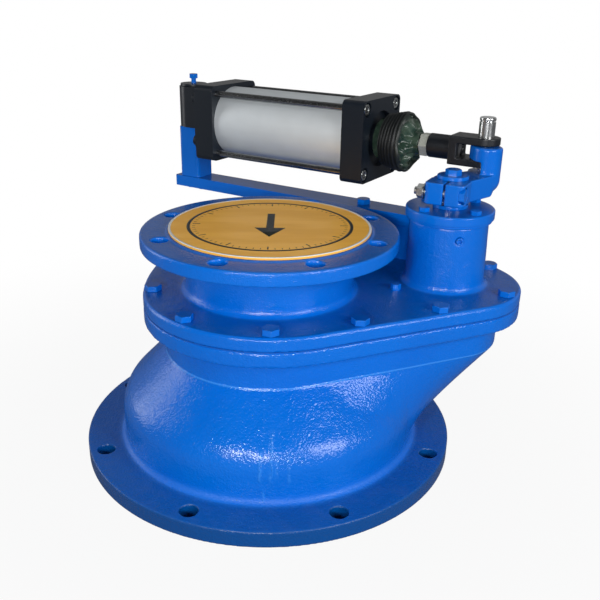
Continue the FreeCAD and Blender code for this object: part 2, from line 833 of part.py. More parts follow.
def lever():
    """Split-hub lever whose far end hooks up round the fork's lower jaw to the eye."""
    pin = Vector(fork_x, fork_y, 0)
    elbow = pin + polar(hook_reach, hook_angle)
    to_elbow = elbow - SHAFT
    elbow_angle = math.degrees(math.atan2(to_elbow.y, to_elbow.x))
    eye_top_z = rod_axis_z + eye_t / 2
    arm = pair_hull(lever_hub_r, eye_r, to_elbow.Length, lever_bottom_z, lever_top_z)
    arm = placed(arm, SHAFT, elbow_angle)
    hook = pair_hull(eye_r + 0.01, eye_r, hook_reach, lever_bottom_z, eye_top_z)
    hook = placed(hook, pin, hook_angle)
    top_edges = [e for e in hook.Edges if min(v.Z for v in e.Vertexes) > eye_top_z - 0.1]
    hook = hook.makeFillet(hook_fillet, top_edges)
    ear_half = clamp_ear_w / 2
    ears = box(6, clamp_ear_reach, -ear_half, ear_half, lever_bottom_z, lever_top_z)
    corners = [e for e in ears.Edges if abs(e.tangentAt(e.FirstParameter).z) > 0.9
               and e.CenterOfMass.x > 10]
    ears = placed(ears.makeFillet(7, corners), SHAFT, clamp_angle)
    solid = arm.fuse(hook).fuse(ears)
    tools = [cyl(shaft_r, lever_bottom_z - 1, lever_top_z + 1, SHAFT), lever_key(),
             cyl(fork_pin_r + running_clearance, rod_axis_z - eye_t, rod_axis_z + eye_t, pin)]
    tools += fork_path()
    tools += [placed(tool, SHAFT, clamp_angle) for tool in clamp_tools()]
    for tool in tools:
        solid = solid.cut(tool)
    return solid


def clamp_bolt():
    """Bolt across the clamp ears, with its washer and nut on the far side."""
    half = clamp_ear_w / 2
    shank = cyl(clamp_bolt_r, -half - 14, half - 7)
    head = placed(hexagon(clamp_bolt_hex, 0, clamp_bolt_head), Vector(0, 0, half - 7))
    washer = ring(clamp_bolt_hex * 0.62, clamp_bolt_r, -half - 2, -half)
    nut = pointed(hexagon(clamp_bolt_hex, 0, 8), Vector(0, 0, -half - 2), Vector(0, 0, -1))
    bolt = fuse(shank, head, washer, nut)
    middle = Vector(clamp_bolt_out, 0, (lever_bottom_z + lever_top_z) / 2)
    return placed(pointed(bolt, middle, Vector(0, 1, 0)), SHAFT, clamp_angle)


def end_washer():
    z0 = lever_top_z
    return turned((end_bolt_r, z0), (end_washer_r, z0), (end_washer_r, z0 + end_washer_t - 1),
                  (end_washer_r - 1, z0 + end_washer_t), (end_bolt_r, z0 + end_washer_t), centre=SHAFT)


def end_bolt():
    bolt = hex_bolt(end_bolt_r, end_bolt_hex, end_bolt_head, end_bolt_reach + end_washer_t - 1)
    return placed(bolt, SHAFT + UP * (lever_top_z + end_washer_t), 12)


# Air cylinder, made along +X with the fork pin at the origin

def at_fork(shape):
    return placed(shape, Vector(fork_x, fork_y, rod_axis_z), axis_angle)


def bar(radius, x0, x1, y=0.0, z=0.0):
    return Part.makeCylinder(radius, x1 - x0, Vector(x0, y, z), Vector(1, 0, 0))


def tube(outer, inner, x0, x1):
    return bar(outer, x0, x1).cut(bar(inner, x0 - 1, x1 + 1))


def hex_bar(across, x0, x1):
    nut = hexagon(across, 0, x1 - x0)
    return pointed(nut, Vector(x0, 0, 0), Vector(1, 0, 0))


def rod_fork():
    """Fork end: square jaws, round shank, tapped for the rod."""
    half = fork_w / 2
    jaws = rounded_square(fork_w, 2.0, -fork_square_length, half)
    nose = cyl(half, -half, half)
    jaws = jaws.common(nose.fuse(box(-fork_square_length, 0, -half, half, -half, half)))
    throat = bar(fork_shank_r, -fork_square_length - fork_shank_length, -fork_square_length)
    solid = jaws.fuse(throat)
    slot_half = fork_gap / 2
    slot = box(-fork_slot_depth, half + 1, -half - 1, half + 1, -slot_half, slot_half)
    tap = bar(rod_thread_r, -fork_square_length - fork_shank_length - 1, -fork_slot_depth)
    return at_fork(cut(solid, [slot, tap, cyl(fork_pin_r, -half - 1, half + 1)]))


def fork_pin():
    """Long plain pin with a groove near each end."""
    z0 = -fork_w / 2 - fork_pin_below
    z1 = fork_w / 2 + fork_pin_above
    groove = 1.0
    r = fork_pin_r
    high = z1 - 6
    clip_z = -fork_w / 2 - clip_t
    return at_fork(turned((0, z0), (r - 1, z0), (r, z0 + 1), (r, clip_z), (r - groove, clip_z),
                          (r - groove, clip_z + clip_t), (r, clip_z + clip_t), (r, high),
                          (r - groove, high), (r - groove, high + 1.6), (r, high + 1.6), (r, z1 - 1),
                          (r - 1, z1), (0, z1)))


def pin_clip():
    z1 = -fork_w / 2
    clip = ring(clip_r, fork_pin_r - 1, z1 - clip_t, z1)
    return at_fork(clip.cut(box(0, clip_r + 1, -3, 3, z1 - clip_t - 1, z1 + 1)))


def lock_nut():
    x0 = nut_back
    nut = hex_bar(lock_nut_hex, x0, x0 + lock_nut_t)
    return at_fork(nut.cut(bar(rod_thread_r, x0 - 1, x0 + lock_nut_t + 1)))


def piston_rod():
    thread = bar(rod_thread_r, nut_back, -fork_slot_depth - 2)
    rod = bar(rod_r, rear_inner + piston_back + piston_t, nut_back)
    return at_fork(fuse(thread, rod))


def piston():
    x0 = rear_inner + piston_back
    groove_x = x0 + piston_t / 2 - seal_ring_t / 2
    solid = bar(bore_r - 0.3, x0, x0 + piston_t)
    groove = tube(bore_r + 1, bore_r - seal_ring_d, groove_x, groove_x + seal_ring_t)
    return at_fork(solid.cut(groove))


def piston_seal():
    x0 = rear_inner + piston_back + piston_t / 2 - seal_ring_t / 2
    return at_fork(tube(bore_r - 0.1, bore_r - seal_ring_d, x0, x0 + seal_ring_t))


def gaiter():
    """Pleated boot between the cylinder and the lock nut."""
    pitch = gaiter_length / gaiter_fold_count
    x0 = gaiter_end - gaiter_length
    points = [(x0, gaiter_bore_r), (x0, gaiter_r - gaiter_fold)]
    for i in range(gaiter_fold_count):
        points.append((x0 + (i + 0.5) * pitch, gaiter_r))
        points.append((x0 + (i + 1) * pitch, gaiter_r - gaiter_fold))
    points.append((gaiter_end, gaiter_bore_r))
    face = profile(points[0], points[1:], lambda p: Vector(p[0], 0, p[1]))
    return at_fork(face.revolve(Vector(0, 0, 0), Vector(1, 0, 0), 360))


def corner_places():
    return [(y, z) for y in (-tie_rod_offset, tie_rod_offset) for z in (-tie_rod_offset, tie_rod_offset)]


def cylinder_cap(x0, x1, outer_x, inner_x):
    """Square end cap with tie-rod holes, nut pockets and an air port at the back."""
    solid = rounded_square(cylinder_cap_w, cylinder_cap_corner, x0, x1)
    tools = [tube(bore_r + tube_wall + 0.01, bore_r, min(inner_x, x0 + 6), max(inner_x, x1 - 6))]
    inward = 1 if inner_x > outer_x else -1
    for y, z in corner_places():
        tools.append(bar(tie_rod_r, x0 - 1, x1 + 1, y, z))
        pocket = sorted((outer_x - inward, outer_x + inward * (tie_nut_t + 1)))
        tools.append(bar(tie_pocket_r, pocket[0], pocket[1], y, z))
    middle = (x0 + x1) / 2
    back = cylinder_cap_w / 2
    tools.append(Part.makeCylinder(port_r, port_depth + 1, Vector(middle, back + 1, 0), Vector(0, -1, 0)))
    tools.append(Part.makeCylinder(port_r / 3, back, Vector(middle, back, 0), Vector(0, -1, 0)))
    return cut(solid, tools)


def front_cap():
    cap = cylinder_cap(front_inner, front_face, front_face, front_inner)
    recess = tube(tie_rod_offset - 6, gland_r, front_face - 8, front_face + 1)
    return at_fork(cut(cap, [recess, bar(rod_r + 5, front_inner - 1, front_face + 1)]))


def rear_cap():
    return at_fork(cylinder_cap(rear_face, rear_inner, rear_face, rear_inner))


def rod_gland():
    """Bush and wiper housing that guides the rod through the front cap."""
    solid = bar(rod_r + 5, front_inner, front_face)
    return at_fork(solid.cut(bar(rod_r + running_clearance, front_inner - 1, front_face + 1)))


def barrel_tube():
    return at_fork(tube(bore_r + tube_wall, bore_r, rear_inner - 6, front_inner + 6))


def tie_rods():
    rods = [bar(tie_rod_r, rear_face + 2, front_face - 2, y, z) for y, z in corner_places()]
    return at_fork(Part.makeCompound(rods))


def tie_nuts():
    nuts = []
    for x0 in (rear_face + 1, front_face - tie_nut_t - 1):
        nut = hex_bar(tie_nut_hex, x0, x0 + tie_nut_t)
        nut = nut.cut(bar(tie_rod_r, x0 - 1, x0 + tie_nut_t + 1))
        nuts += [placed(nut, Vector(0, y, z)) for y, z in corner_places()]
    return at_fork(Part.makeCompound(nuts))


# Rear eye, pivot and bracket

def rear_eye():
    """Plate with a tall eye; its bore is wider than the pin because the pivot floats."""
    pivot = -pin_distance
    plate = rounded_square(rear_plate_w, 6.0, rear_face - rear_plate_t, rear_face)
    z0 = eye_bottom_z - rod_axis_z
    z1 = eye_top_z - rod_axis_z
    half = eye_block_w / 2
    neck = box(pivot, rear_face - rear_plate_t + 1, -half, half, z0, z1)
    eye = cyl(half, z0, z1, Vector(pivot, 0, 0))
    tools = [cyl(pivot_pin_r + pivot_float, z0 - 1, z1 + 1, Vector(pivot, 0, 0))]
    for y in (-rear_screw_offset, rear_screw_offset):
        for z in (-rear_screw_offset, rear_screw_offset):
            tools.append(bar(rear_screw_r, rear_face - rear_plate_t - 1, rear_face + 1, y, z))
    return at_fork(cut(plate.multiFuse([neck, eye]), tools))


def rear_screws():
    """Socket screws that hold the eye plate to the rear cap."""
    screws = []
    for y in (-rear_screw_offset, rear_screw_offset):
        for z in (-rear_screw_offset, rear_screw_offset):
            x0 = rear_face - rear_plate_t
            head = bar(rear_screw_r * 1.7, x0 - 8, x0, y, z)
            socket = bar(rear_screw_r * 0.8, x0 - 9, x0 - 4, y, z)
            shank = bar(rear_screw_r, x0, rear_face, y, z)
            screws.append(head.cut(socket).fuse(shank))
    return at_fork(Part.makeCompound(screws))


def bracket_beam():
    half = beam_w / 2
    beam = box(-beam_overhang, beam_end, -half, half, beam_bottom_z, beam_top_z)
    upright = [e for e in beam.Edges if abs(e.tangentAt(e.FirstParameter).z) > 0.9]
    beam = on_axis(beam.makeFillet(3.0, upright))
    hole = cyl(beam_bolt_r + hole_clearance, beam_bottom_z - 1, beam_top_z + 1)
    tools = [placed(hole, along_axis(s)) for s in beam_bolt_places]
    small = cyl(post_bolt_r, beam_bottom_z - 1, beam_top_z + 1)
    tools += [placed(small, along_axis(s)) for s in post_bolt_places()]
    return cut(beam, tools)


def post_bolt_places():
    return (-post_bolt_spacing / 2, post_bolt_spacing / 2)


def pivot_post():
    """Square post that stands on the beam and holds the pivot pin."""
    half = post_w / 2
    post = box(-half, half, -half, half, beam_top_z, eye_bottom_z - touch_gap)
    upright = [e for e in post.Edges if abs(e.tangentAt(e.FirstParameter).z) > 0.9]
    post = on_axis(post.makeFillet(post_corner, upright))
    pin_hole = cyl(pivot_pin_r, pivot_pin_bottom_z, eye_bottom_z + 1, along_axis(0))
    taps = [cyl(post_bolt_r, beam_top_z - 1, beam_top_z + post_bolt_reach + 2, along_axis(s))
            for s in post_bolt_places()]
    return cut(post, [pin_hole] + taps)


def post_bolts():
    bolt = hex_bolt(post_bolt_r, post_bolt_hex, post_bolt_head, beam_t + post_bolt_reach)
    bolts = []
    for s in post_bolt_places():
        bolts.append(pointed(bolt, along_axis(s, 0, beam_bottom_z), Vector(0, 0, -1)))
    return Part.makeCompound(bolts)


def beam_bolts():
    bolt = hex_bolt(beam_bolt_r, beam_bolt_hex, beam_bolt_head, beam_t + beam_bolt_reach - 1)
    bolts = [placed(bolt, along_axis(s, 0, beam_top_z), 25.0 * i)
             for i, s in enumerate(beam_bolt_places)]
    return Part.makeCompound(bolts)


def pivot_pin():
    top = eye_top_z + touch_gap
    pin = cyl(pivot_pin_r, pivot_pin_bottom_z, top, along_axis(0))
    tap = cyl(pin_bolt_r, top - pin_bolt_reach - 2, top + 1, along_axis(0))
    return pin.cut(tap)


def pivot_washer():
    z0 = eye_top_z + touch_gap
    return ring(pivot_washer_r, pin_bolt_r, z0, z0 + pivot_washer_t, along_axis(0))


def pin_bolt():
    z0 = eye_top_z + touch_gap + pivot_washer_t + pin_bolt_neck
    reach = pin_bolt_neck + pivot_washer_t + pin_bolt_reach
    bolt = hex_bolt(pin_bolt_r, pin_bolt_hex, pin_bolt_head, reach)
    return placed(bolt, along_axis(0, 0, z0), 10)


def inlet_board():
    """Loose round board that covers the inlet in transport."""
    z0 = inlet_face_z
    return turned((0, z0), (board_r, z0), (board_r, z0 + board_t - 0.6),
                  (board_r - 0.6, z0 + board_t), (0, z0 + board_t))


PIECES = {
    "valve_body": valve_body,
    "valve_cover": valve_cover,
    "cover_gasket": cover_gasket,
    "cover_bolts": cover_bolts,
    "seat_ring": seat_ring,
    "seat_screws": seat_screws,
    "cover_plug": cover_plug,
    "tower_plug": tower_plug,
    "bearing_cap": bearing_cap,
    "cap_bolts": cap_bolts,
    "lower_bush": lower_bush,
    "upper_bush": upper_bush,
    "shaft_packing": shaft_packing,
    "lantern_ring": lantern_ring,
    "thrust_washer": thrust_washer,
    "shaft_seal": shaft_seal,
    "valve_shaft": valve_shaft,
    "arm_key": arm_key,
    "lever_key": lever_key,
    "swing_arm": swing_arm,
    "arm_washer": arm_washer,
    "arm_bolt": arm_bolt,
    "disc_stub": disc_stub,
    "spring_washers": spring_washers,
    "valve_disc": valve_disc,
    "disc_face": disc_face,
    "lever": lever,
    "clamp_bolt": clamp_bolt,
    "end_washer": end_washer,
    "end_bolt": end_bolt,
    "rod_fork": rod_fork,
    "fork_pin": fork_pin,
    "pin_clip": pin_clip,
    "lock_nut": lock_nut,
    "piston_rod": piston_rod,
    "piston": piston,
    "piston_seal": piston_seal,
    "rod_gaiter": gaiter,
    "front_cap": front_cap,
    "rear_cap": rear_cap,
    "rod_gland": rod_gland,
    "barrel_tube": barrel_tube,
    "tie_rods": tie_rods,
    "tie_nuts": tie_nuts,
    "rear_eye": rear_eye,
    "rear_screws": rear_screws,
    "bracket_beam": bracket_beam,
    "pivot_post": pivot_post,
    "post_bolts": post_bolts,
    "beam_bolts": beam_bolts,
    "pivot_pin": pivot_pin,
    "pivot_washer": pivot_washer,
    "pin_bolt": pin_bolt,
    "inlet_board": inlet_board,
}

os.makedirs("parts", exist_ok=True)
for name, make in PIECES.items():
    make().exportStep("parts/" + name + ".step")
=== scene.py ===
"""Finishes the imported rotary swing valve: painted castings, air cylinder, gaiter, board and studio."""

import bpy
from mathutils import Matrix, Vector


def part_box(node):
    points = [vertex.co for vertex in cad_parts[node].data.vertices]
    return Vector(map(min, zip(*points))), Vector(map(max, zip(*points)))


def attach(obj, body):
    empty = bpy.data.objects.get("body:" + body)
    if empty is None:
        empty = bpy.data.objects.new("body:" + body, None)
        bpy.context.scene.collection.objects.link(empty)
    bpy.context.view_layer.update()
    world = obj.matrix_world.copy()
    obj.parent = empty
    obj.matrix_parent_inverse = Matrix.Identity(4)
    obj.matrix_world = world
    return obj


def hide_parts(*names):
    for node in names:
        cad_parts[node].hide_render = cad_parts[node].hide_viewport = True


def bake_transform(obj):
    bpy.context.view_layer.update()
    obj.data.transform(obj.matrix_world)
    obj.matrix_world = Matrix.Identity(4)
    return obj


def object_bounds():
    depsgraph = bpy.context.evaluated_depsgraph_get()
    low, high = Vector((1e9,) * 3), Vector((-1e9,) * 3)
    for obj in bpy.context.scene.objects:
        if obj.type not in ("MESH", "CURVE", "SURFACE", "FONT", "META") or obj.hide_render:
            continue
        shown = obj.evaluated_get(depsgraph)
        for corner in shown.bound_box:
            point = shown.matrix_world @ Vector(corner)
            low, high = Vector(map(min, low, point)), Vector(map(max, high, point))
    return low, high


bl_info = {
    "name": "Swing Valve Finish",
    "version": (1, 0, 0),
    "blender": (4, 5, 0),
    "location": "View3D > Sidebar > Valve",
    "description": "Gives a rotary swing valve and its air cylinder their surfaces and a plain studio",
    "category": "Add Mesh",
}

import math

import bmesh
import bpy
import numpy as np
from bpy.props import FloatProperty, FloatVectorProperty, IntProperty, PointerProperty
from mathutils import Matrix, Vector, noise

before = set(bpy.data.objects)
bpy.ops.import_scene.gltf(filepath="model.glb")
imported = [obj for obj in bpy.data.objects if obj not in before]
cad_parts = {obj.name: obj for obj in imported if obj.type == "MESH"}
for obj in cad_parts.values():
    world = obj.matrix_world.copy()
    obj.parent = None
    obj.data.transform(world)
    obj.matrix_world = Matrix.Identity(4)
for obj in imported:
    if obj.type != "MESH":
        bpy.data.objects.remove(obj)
cad_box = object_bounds()

MM = 0.001


# Places taken from the frame, in metres

def middle(node):
    low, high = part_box(node)
    return (low + high) / 2


SHAFT = middle("upper_bush").xy
FORK_PIN = middle("fork_pin").xy
REAR_PIVOT = middle("pivot_pin").xy
AXIS_Z = middle("barrel_tube").z
BOARD_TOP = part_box("inlet_board")[1].z
BOARD_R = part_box("inlet_board")[1].x
OUTLET_FLANGE_R = -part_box("valve_body")[0].y
AXIS_TURN = math.atan2(FORK_PIN.y - REAR_PIVOT.y, FORK_PIN.x - REAR_PIVOT.x)
AIR = Matrix.Translation((FORK_PIN.x, FORK_PIN.y, AXIS_Z)) @ Matrix.Rotation(AXIS_TURN, 4, "Z")


def along(node):
    """Where a node starts and ends along the air cylinder's axis, from the fork pin."""
    back = AIR.inverted()
    reach = [(back @ v.co).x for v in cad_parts[node].data.vertices]
    return min(reach), max(reach)


# The castings' own places, as their source has them
CREASE_Z = 146 * MM
BELLY_Z = 62 * MM
BELLY_R = 204.5 * MM
PORT_WALL_R = 142.5 * MM
SHAFT_WALL_R = 78.5 * MM
FLANGE_T = 22 * MM
CLAMP_TURN = math.radians(-27.0)
HOOK_TURN = math.radians(-85.0)
HOOK_REACH = 13 * MM
COLUMN_R = 20 * MM

# Heights between which the castings' surfaces go over from one state to the next
FOOT_BLEND = (36 * MM, 56 * MM)
CREASE_BLEND = (132 * MM, 142 * MM)
WAVES_START = (30 * MM, 40 * MM)
COVER_WAVES_END = (284 * MM, 290 * MM)

# The belly's front: its arc about the port's axis, and the shell that fills it out
BELLY_ARC = (math.radians(-100.0), math.radians(-20.0))
BELLY_ARCH = 3 * MM
BELLY_WALL = 9 * MM
BELLY_BACKING = 14 * MM
BELLY_BACKING_REACH = 40 * MM
WALL_LOBES = 60

# The outlet flange's turned edge, and how far in from it the casting is turned
FLANGE_EDGE = 1.5 * MM
FLANGE_SKIN = 2.5 * MM
FLANGE_FACE_W = 38 * MM

# Mould joint and scars on the body's front, in millimetres: x, lower end, upper end, width and height
SEAMS = ((-2, 30, 206, 2.2, 0.10), (-5, 46, 100, 3.6, 0.62), (-1, 24, 46, 3.0, 0.50),
         (8, 46, 118, 3.8, 0.70), (15, 54, 96, 3.4, -0.45), (30, 44, 92, 3.6, 0.40))
CREASE_BEAD_W = 1.8 * MM
FRONT_START = (-100 * MM, -90 * MM)

# The lever column's round foot
FOOT_ROUND = 19.5 * MM
FOOT_FADE = (-14 * MM, 2 * MM)

# The gaiter, from the cylinder to the rod. First the ends of collar, pleats and rim along its cloth, then
# along the rod, both as shares, and then its radii
COLLAR_CLOTH, PLEAT_CLOTH, RIM_CLOTH = 0.12, 0.60, 0.74
COLLAR_END, PLEAT_END, RIM_END = 0.16, 0.62, 0.71
FACE_GATHER_END = 0.8
COLLAR_R = 29 * MM
PLEAT_R = 31.5 * MM
PLEAT_WIDENING = 8 * MM
PLEAT_DEPTH = 4.6 * MM
RIM_R = 40.5 * MM
FACE_R = 40 * MM
FACE_IN = 24.5 * MM
GAITER_BORE_R = 13.2 * MM

# The board's print
TICKS = 72
TICKS_PER_LONG = 6
TICK_END = 5 * MM
LONG_TICK = (15 * MM, 1.6 * MM)
SHORT_TICK = (9 * MM, 0.9 * MM)
PRINT_DEPTH = 0.2 * MM
PRINT_PROUD = 0.12 * MM
BOARD_EDGE_W = 3.0 * MM
ARROW = ((-52, -5), (14, -5), (14, -20), (52, 0), (14, 20), (14, 5), (-52, 5))


# Sizes and colours that a user would change

def colour(name, red, green, blue, words):
    return FloatVectorProperty(name=name, description=words, default=(red, green, blue, 1.0), size=4,
                               min=0.0, max=1.0, subtype="COLOR")


def length(name, default, words):
    return FloatProperty(name=name, description=words, default=default, unit="LENGTH", precision=5)


class ValveSizes(bpy.types.PropertyGroup):
    """Sizes of the surface work on the castings, board and gaiter."""

    casting_grain: length("Casting grain", 2.0 * MM, "Distance between the points of a casting's mesh")
    small_grain: length("Small grain", 0.9 * MM, "The same on the lever and the fork")
    casting_softness: IntProperty(name="Casting softness", default=5,
                                  description="Rounds of smoothing on a casting's edges")
    blend_softness: IntProperty(name="Blend softness", default=30,
                                description="Rounds of smoothing where dome and chute meet")
    most_triangles: IntProperty(name="Most triangles", default=190000,
                                description="Triangles kept on one casting")
    edge_round: length("Edge round", 0.6 * MM, "Rounding of machined edges")
    ring_r: length("Board ring", 107.0 * MM, "Radius of the printed ring on the transport board")
    ring_w: length("Ring width", 4.2 * MM, "Width of the printed ring")
    gaiter_pleats: IntProperty(name="Gaiter pleats", default=6, description="Folds of the rod's gaiter")


class ValveColours(bpy.types.PropertyGroup):
    """Colours of the finishes."""

    paint: colour("Paint", 0.0, 0.146, 0.65, "Blue enamel")
    paint_deep: colour("Deep paint", 0.0, 0.112, 0.57, "Blue enamel where it lies thick")
    # Colour of the painted shade on faces that look up and near the floor
    paint_shaded: colour("Shaded paint", 0.0, 0.060, 0.25, "Blue enamel darkened as painted shade")
    # Colour of the painted highlight on the body's crease bead and scars
    paint_highlight: colour("Painted highlight", 0.08, 0.38, 0.95, "Lighter blue painted on as a highlight along the crease and scars")
    board: colour("Board", 1.0, 0.53, 0.068, "Varnished board")
    board_dark: colour("Dark board", 0.72, 0.33, 0.045, "Darker figure of the board")
    print_black: colour("Print", 0.014, 0.018, 0.014, "Printed ring and marks")
    black: colour("Black", 0.007, 0.011, 0.018, "Black anodised caps")
    tube: colour("Tube", 0.80, 0.85, 0.88, "Clear anodised tube")
    gaiter_dark: colour("Gaiter folds", 0.012, 0.014, 0.015, "Folded part of the gaiter")
    gaiter_green: colour("Gaiter face", 0.018, 0.040, 0.028, "Creased face of the gaiter")


# Meshes

def linked(name, mesh):
    obj = bpy.data.objects.new(name, mesh)
    bpy.context.scene.collection.objects.link(obj)
    return obj


def settle(obj):
    """Writes an object's modifiers into its mesh."""
    graph = bpy.context.evaluated_depsgraph_get()
    mesh = bpy.data.meshes.new_from_object(obj.evaluated_get(graph))
    obj.modifiers.clear()
    obj.data = mesh


def built(name, verts, faces, matrix=Matrix.Identity(4)):
    """Object from points and faces, with its normals turned outwards."""
    bm = bmesh.new()
    points = [bm.verts.new(matrix @ Vector(v)) for v in verts]
    for face in faces:
        bm.faces.new([points[i] for i in face])
    bmesh.ops.recalc_face_normals(bm, faces=bm.faces)
    mesh = bpy.data.meshes.new(name)
    bm.to_mesh(mesh)
    bm.free()
    mesh.shade_smooth()
    return linked(name, mesh)


def ring_faces(rows, steps, closed=True):
    """Quads between rows of points that each go once round."""
    faces = []
    for row in range(rows if closed else rows - 1):
        one, two = row * steps, ((row + 1) % rows) * steps
        for i in range(steps):
            j = (i + 1) % steps
            faces.append((one + i, one + j, two + j, two + i))
    return faces


def lathe(name, outline, steps=160):
    """Closed ring about Z from an outline of (radius, height) points."""
    turns = [(math.cos(math.tau * i / steps), math.sin(math.tau * i / steps)) for i in range(steps)]
    verts = [(r * c, r * s, z) for r, z in outline for c, s in turns]
    return built(name, verts, ring_faces(len(outline), steps))


def prism(name, outline, low, high, matrix=Matrix.Identity(4)):
    """Upright block on a closed outline of (x, y) points."""
    count = len(outline)
    verts = [(x, y, z) for z in (low, high) for x, y in outline]
    faces = [tuple(range(count)), tuple(range(count, 2 * count))]
    faces += [(i, (i + 1) % count, count + (i + 1) % count, count + i) for i in range(count)]
    return built(name, verts, faces, matrix)


def stroke(name, start, end, width, low, high):
    """Straight flat bar between two (x, y) points."""
    start, end = Vector(start), Vector(end)
    side = (end - start).normalized().orthogonal() * width / 2
    return prism(name, [tuple(p) for p in (start + side, end + side, end - side, start - side)], low, high)


def whole(obj):
    """Joins the split points of a CAD mesh, so that it is closed."""
    bm = bmesh.new()
    bm.from_mesh(obj.data)
    bmesh.ops.remove_doubles(bm, verts=bm.verts, dist=0.002 * MM)
    bm.to_mesh(obj.data)
    bm.free()


def copied(name, node):
    """A new object with a copy of a CAD node's mesh, without its finish."""
    obj = linked(name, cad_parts[node].data.copy())
    obj.data.materials.clear()
    whole(obj)
    return obj


def points_of(mesh, kind="co"):
    """The mesh's points, or with "vector" their normals, as rows of x, y and z."""
    values = np.empty(len(mesh.vertices) * 3, np.float32)
    source = mesh.vertices if kind == "co" else mesh.vertex_normals
    source.foreach_get(kind, values)
    return values.reshape(-1, 3).astype(float)


def set_points(obj, points):
    obj.data.vertices.foreach_set("co", points.astype(np.float32).ravel())
    obj.data.update()


def moved_out(obj, relief):
    """Moves each point along its normal by what relief says of the points."""
    points = points_of(obj.data)
    set_points(obj, points + points_of(obj.data, "vector") * relief(points)[:, None])


def smoothed(obj, rounds, mask=None):
    """Softens a mesh, all over or where the mask is above zero."""
    smooth = obj.modifiers.new("soft", "SMOOTH")
    smooth.factor = 0.5
    smooth.iterations = rounds
    if mask is not None:
        group = obj.vertex_groups.new(name="soft")
        for level in range(1, 11):
            chosen = np.nonzero(np.round(mask * 10).astype(int) == level)[0]
            group.add(chosen.tolist(), level / 10, "REPLACE")
        smooth.vertex_group = group.name
    settle(obj)
    obj.vertex_groups.clear()


def thinned(obj, most):
    """Leaves at most so many triangles, the fewest where the surface is flat."""
    count = sum(len(p.vertices) - 2 for p in obj.data.polygons)
    if count > most:
        thin = obj.modifiers.new("thin", "DECIMATE")
        thin.ratio = most / count
        settle(obj)


def cast(name, node, grain, rounds, most, relief=None, blend=None, blend_rounds=0, swell=None):
    """Softened copy of a CAD node, with the swell joined to it: a painted casting has no sharp edge."""
    obj = copied(name, node)
    if swell:
        with bpy.context.temp_override(active_object=obj, selected_editable_objects=[obj, swell]):
            bpy.ops.object.join()
    remesh = obj.modifiers.new("skin", "REMESH")
    remesh.mode = "VOXEL"
    remesh.voxel_size = grain
    settle(obj)
    if blend:
        smoothed(obj, blend_rounds, blend(points_of(obj.data)))
    smoothed(obj, rounds)
    if relief:
        moved_out(obj, relief)
    thinned(obj, most)
    obj.data.shade_smooth()
    return obj


def rounded(obj, width):
    """Adds a small rounding to an object's sharp edges and evens out its normals."""
    weld = obj.modifiers.new("weld", "WELD")
    weld.merge_threshold = 0.002 * MM
    flat = obj.modifiers.new("flat", "DECIMATE")
    flat.decimate_type = "DISSOLVE"
    flat.angle_limit = math.radians(0.5)
    edge = obj.modifiers.new("edge", "BEVEL")
    edge.width = width
    edge.segments = 2
    edge.limit_method = "ANGLE"
    edge.angle_limit = math.radians(28.0)
    edge.use_clamp_overlap = True
    even = obj.modifiers.new("even", "WEIGHTED_NORMAL")
    even.keep_sharp = True
    obj.data.shade_smooth()


# Shader building

class Tree:
    """Adds and links shader nodes in few words."""

    def __init__(self, tree):
        self.tree = tree

    def add(self, kind, inputs=None, **settings):
        node = self.tree.nodes.new(kind)
        for key, value in settings.items():
            setattr(node, key, value)
        for key, value in (inputs or {}).items():
            self.feed(node.inputs[key], value)
        return node

    def feed(self, socket, value):
        if isinstance(value, bpy.types.NodeSocket):
            self.tree.links.new(value, socket)
        else:
            socket.default_value = value

    def math(self, operation, one, two=0.0, clamp=False):
        node = self.add("ShaderNodeMath", {0: one, 1: two}, operation=operation, use_clamp=clamp)
        return node.outputs[0]

    def spread(self, value, low, high, start=0.0, end=1.0):
        """The value's range low to high, spread smoothly over start to end."""
        node = self.add("ShaderNodeMapRange", {0: value, 1: low, 2: high, 3: start, 4: end},
                        interpolation_type="SMOOTHSTEP")
        return node.outputs[0]

    def band(self, value, centre, half):
        """1 where the value is at the centre, falling smoothly to 0 at half a width away."""
        away = self.math("ABSOLUTE", self.math("SUBTRACT", value, centre))
        return self.spread(away, 0.0, half, 1.0, 0.0)

    def mix(self, share, one, two):
        node = self.add("ShaderNodeMix", data_type="RGBA")
        self.feed(node.inputs[0], share)
        self.feed(node.inputs[6], one)
        self.feed(node.inputs[7], two)
        return node.outputs[2]

    def noise(self, place, scale, detail=2.0, roughness=0.5):
        node = self.add("ShaderNodeTexNoise", {"Vector": place, "Scale": scale, "Detail": detail,
                                               "Roughness": roughness})
        return node.outputs["Fac"]

    def place(self, stretch=None):
        """The surface point in the object's own space, stretched if asked."""
        where = self.add("ShaderNodeTexCoord").outputs["Object"]
        if stretch is None:
            return where
        return self.add("ShaderNodeMapping", {"Vector": where, "Scale": stretch}).outputs[0]

    def group(self, name, **inputs):
        return self.add("ShaderNodeGroup", {k.replace("_", " "): v for k, v in inputs.items()},
                        node_tree=EFFECTS[name]())


KINDS = {"value": "NodeSocketFloat", "colour": "NodeSocketColor", "vector": "NodeSocketVector"}


def effect(name, inputs, outputs, fill):
    """A shader node group, built once. inputs are (name, kind, default) and outputs (name, kind)."""
    tree = bpy.data.node_groups.get(name)
    if tree:
        return tree
    tree = bpy.data.node_groups.new(name, "ShaderNodeTree")
    for label, kind, default in inputs:
        socket = tree.interface.new_socket(name=label, in_out="INPUT", socket_type=KINDS[kind])
        socket.default_value = default
    for label, kind in outputs:
        tree.interface.new_socket(name=label, in_out="OUTPUT", socket_type=KINDS[kind])
    work = Tree(tree)
    given = work.add("NodeGroupInput").outputs
    result = work.add("NodeGroupOutput")
    for label, value in fill(work, given).items():
        work.feed(result.inputs[label], value)
    return tree


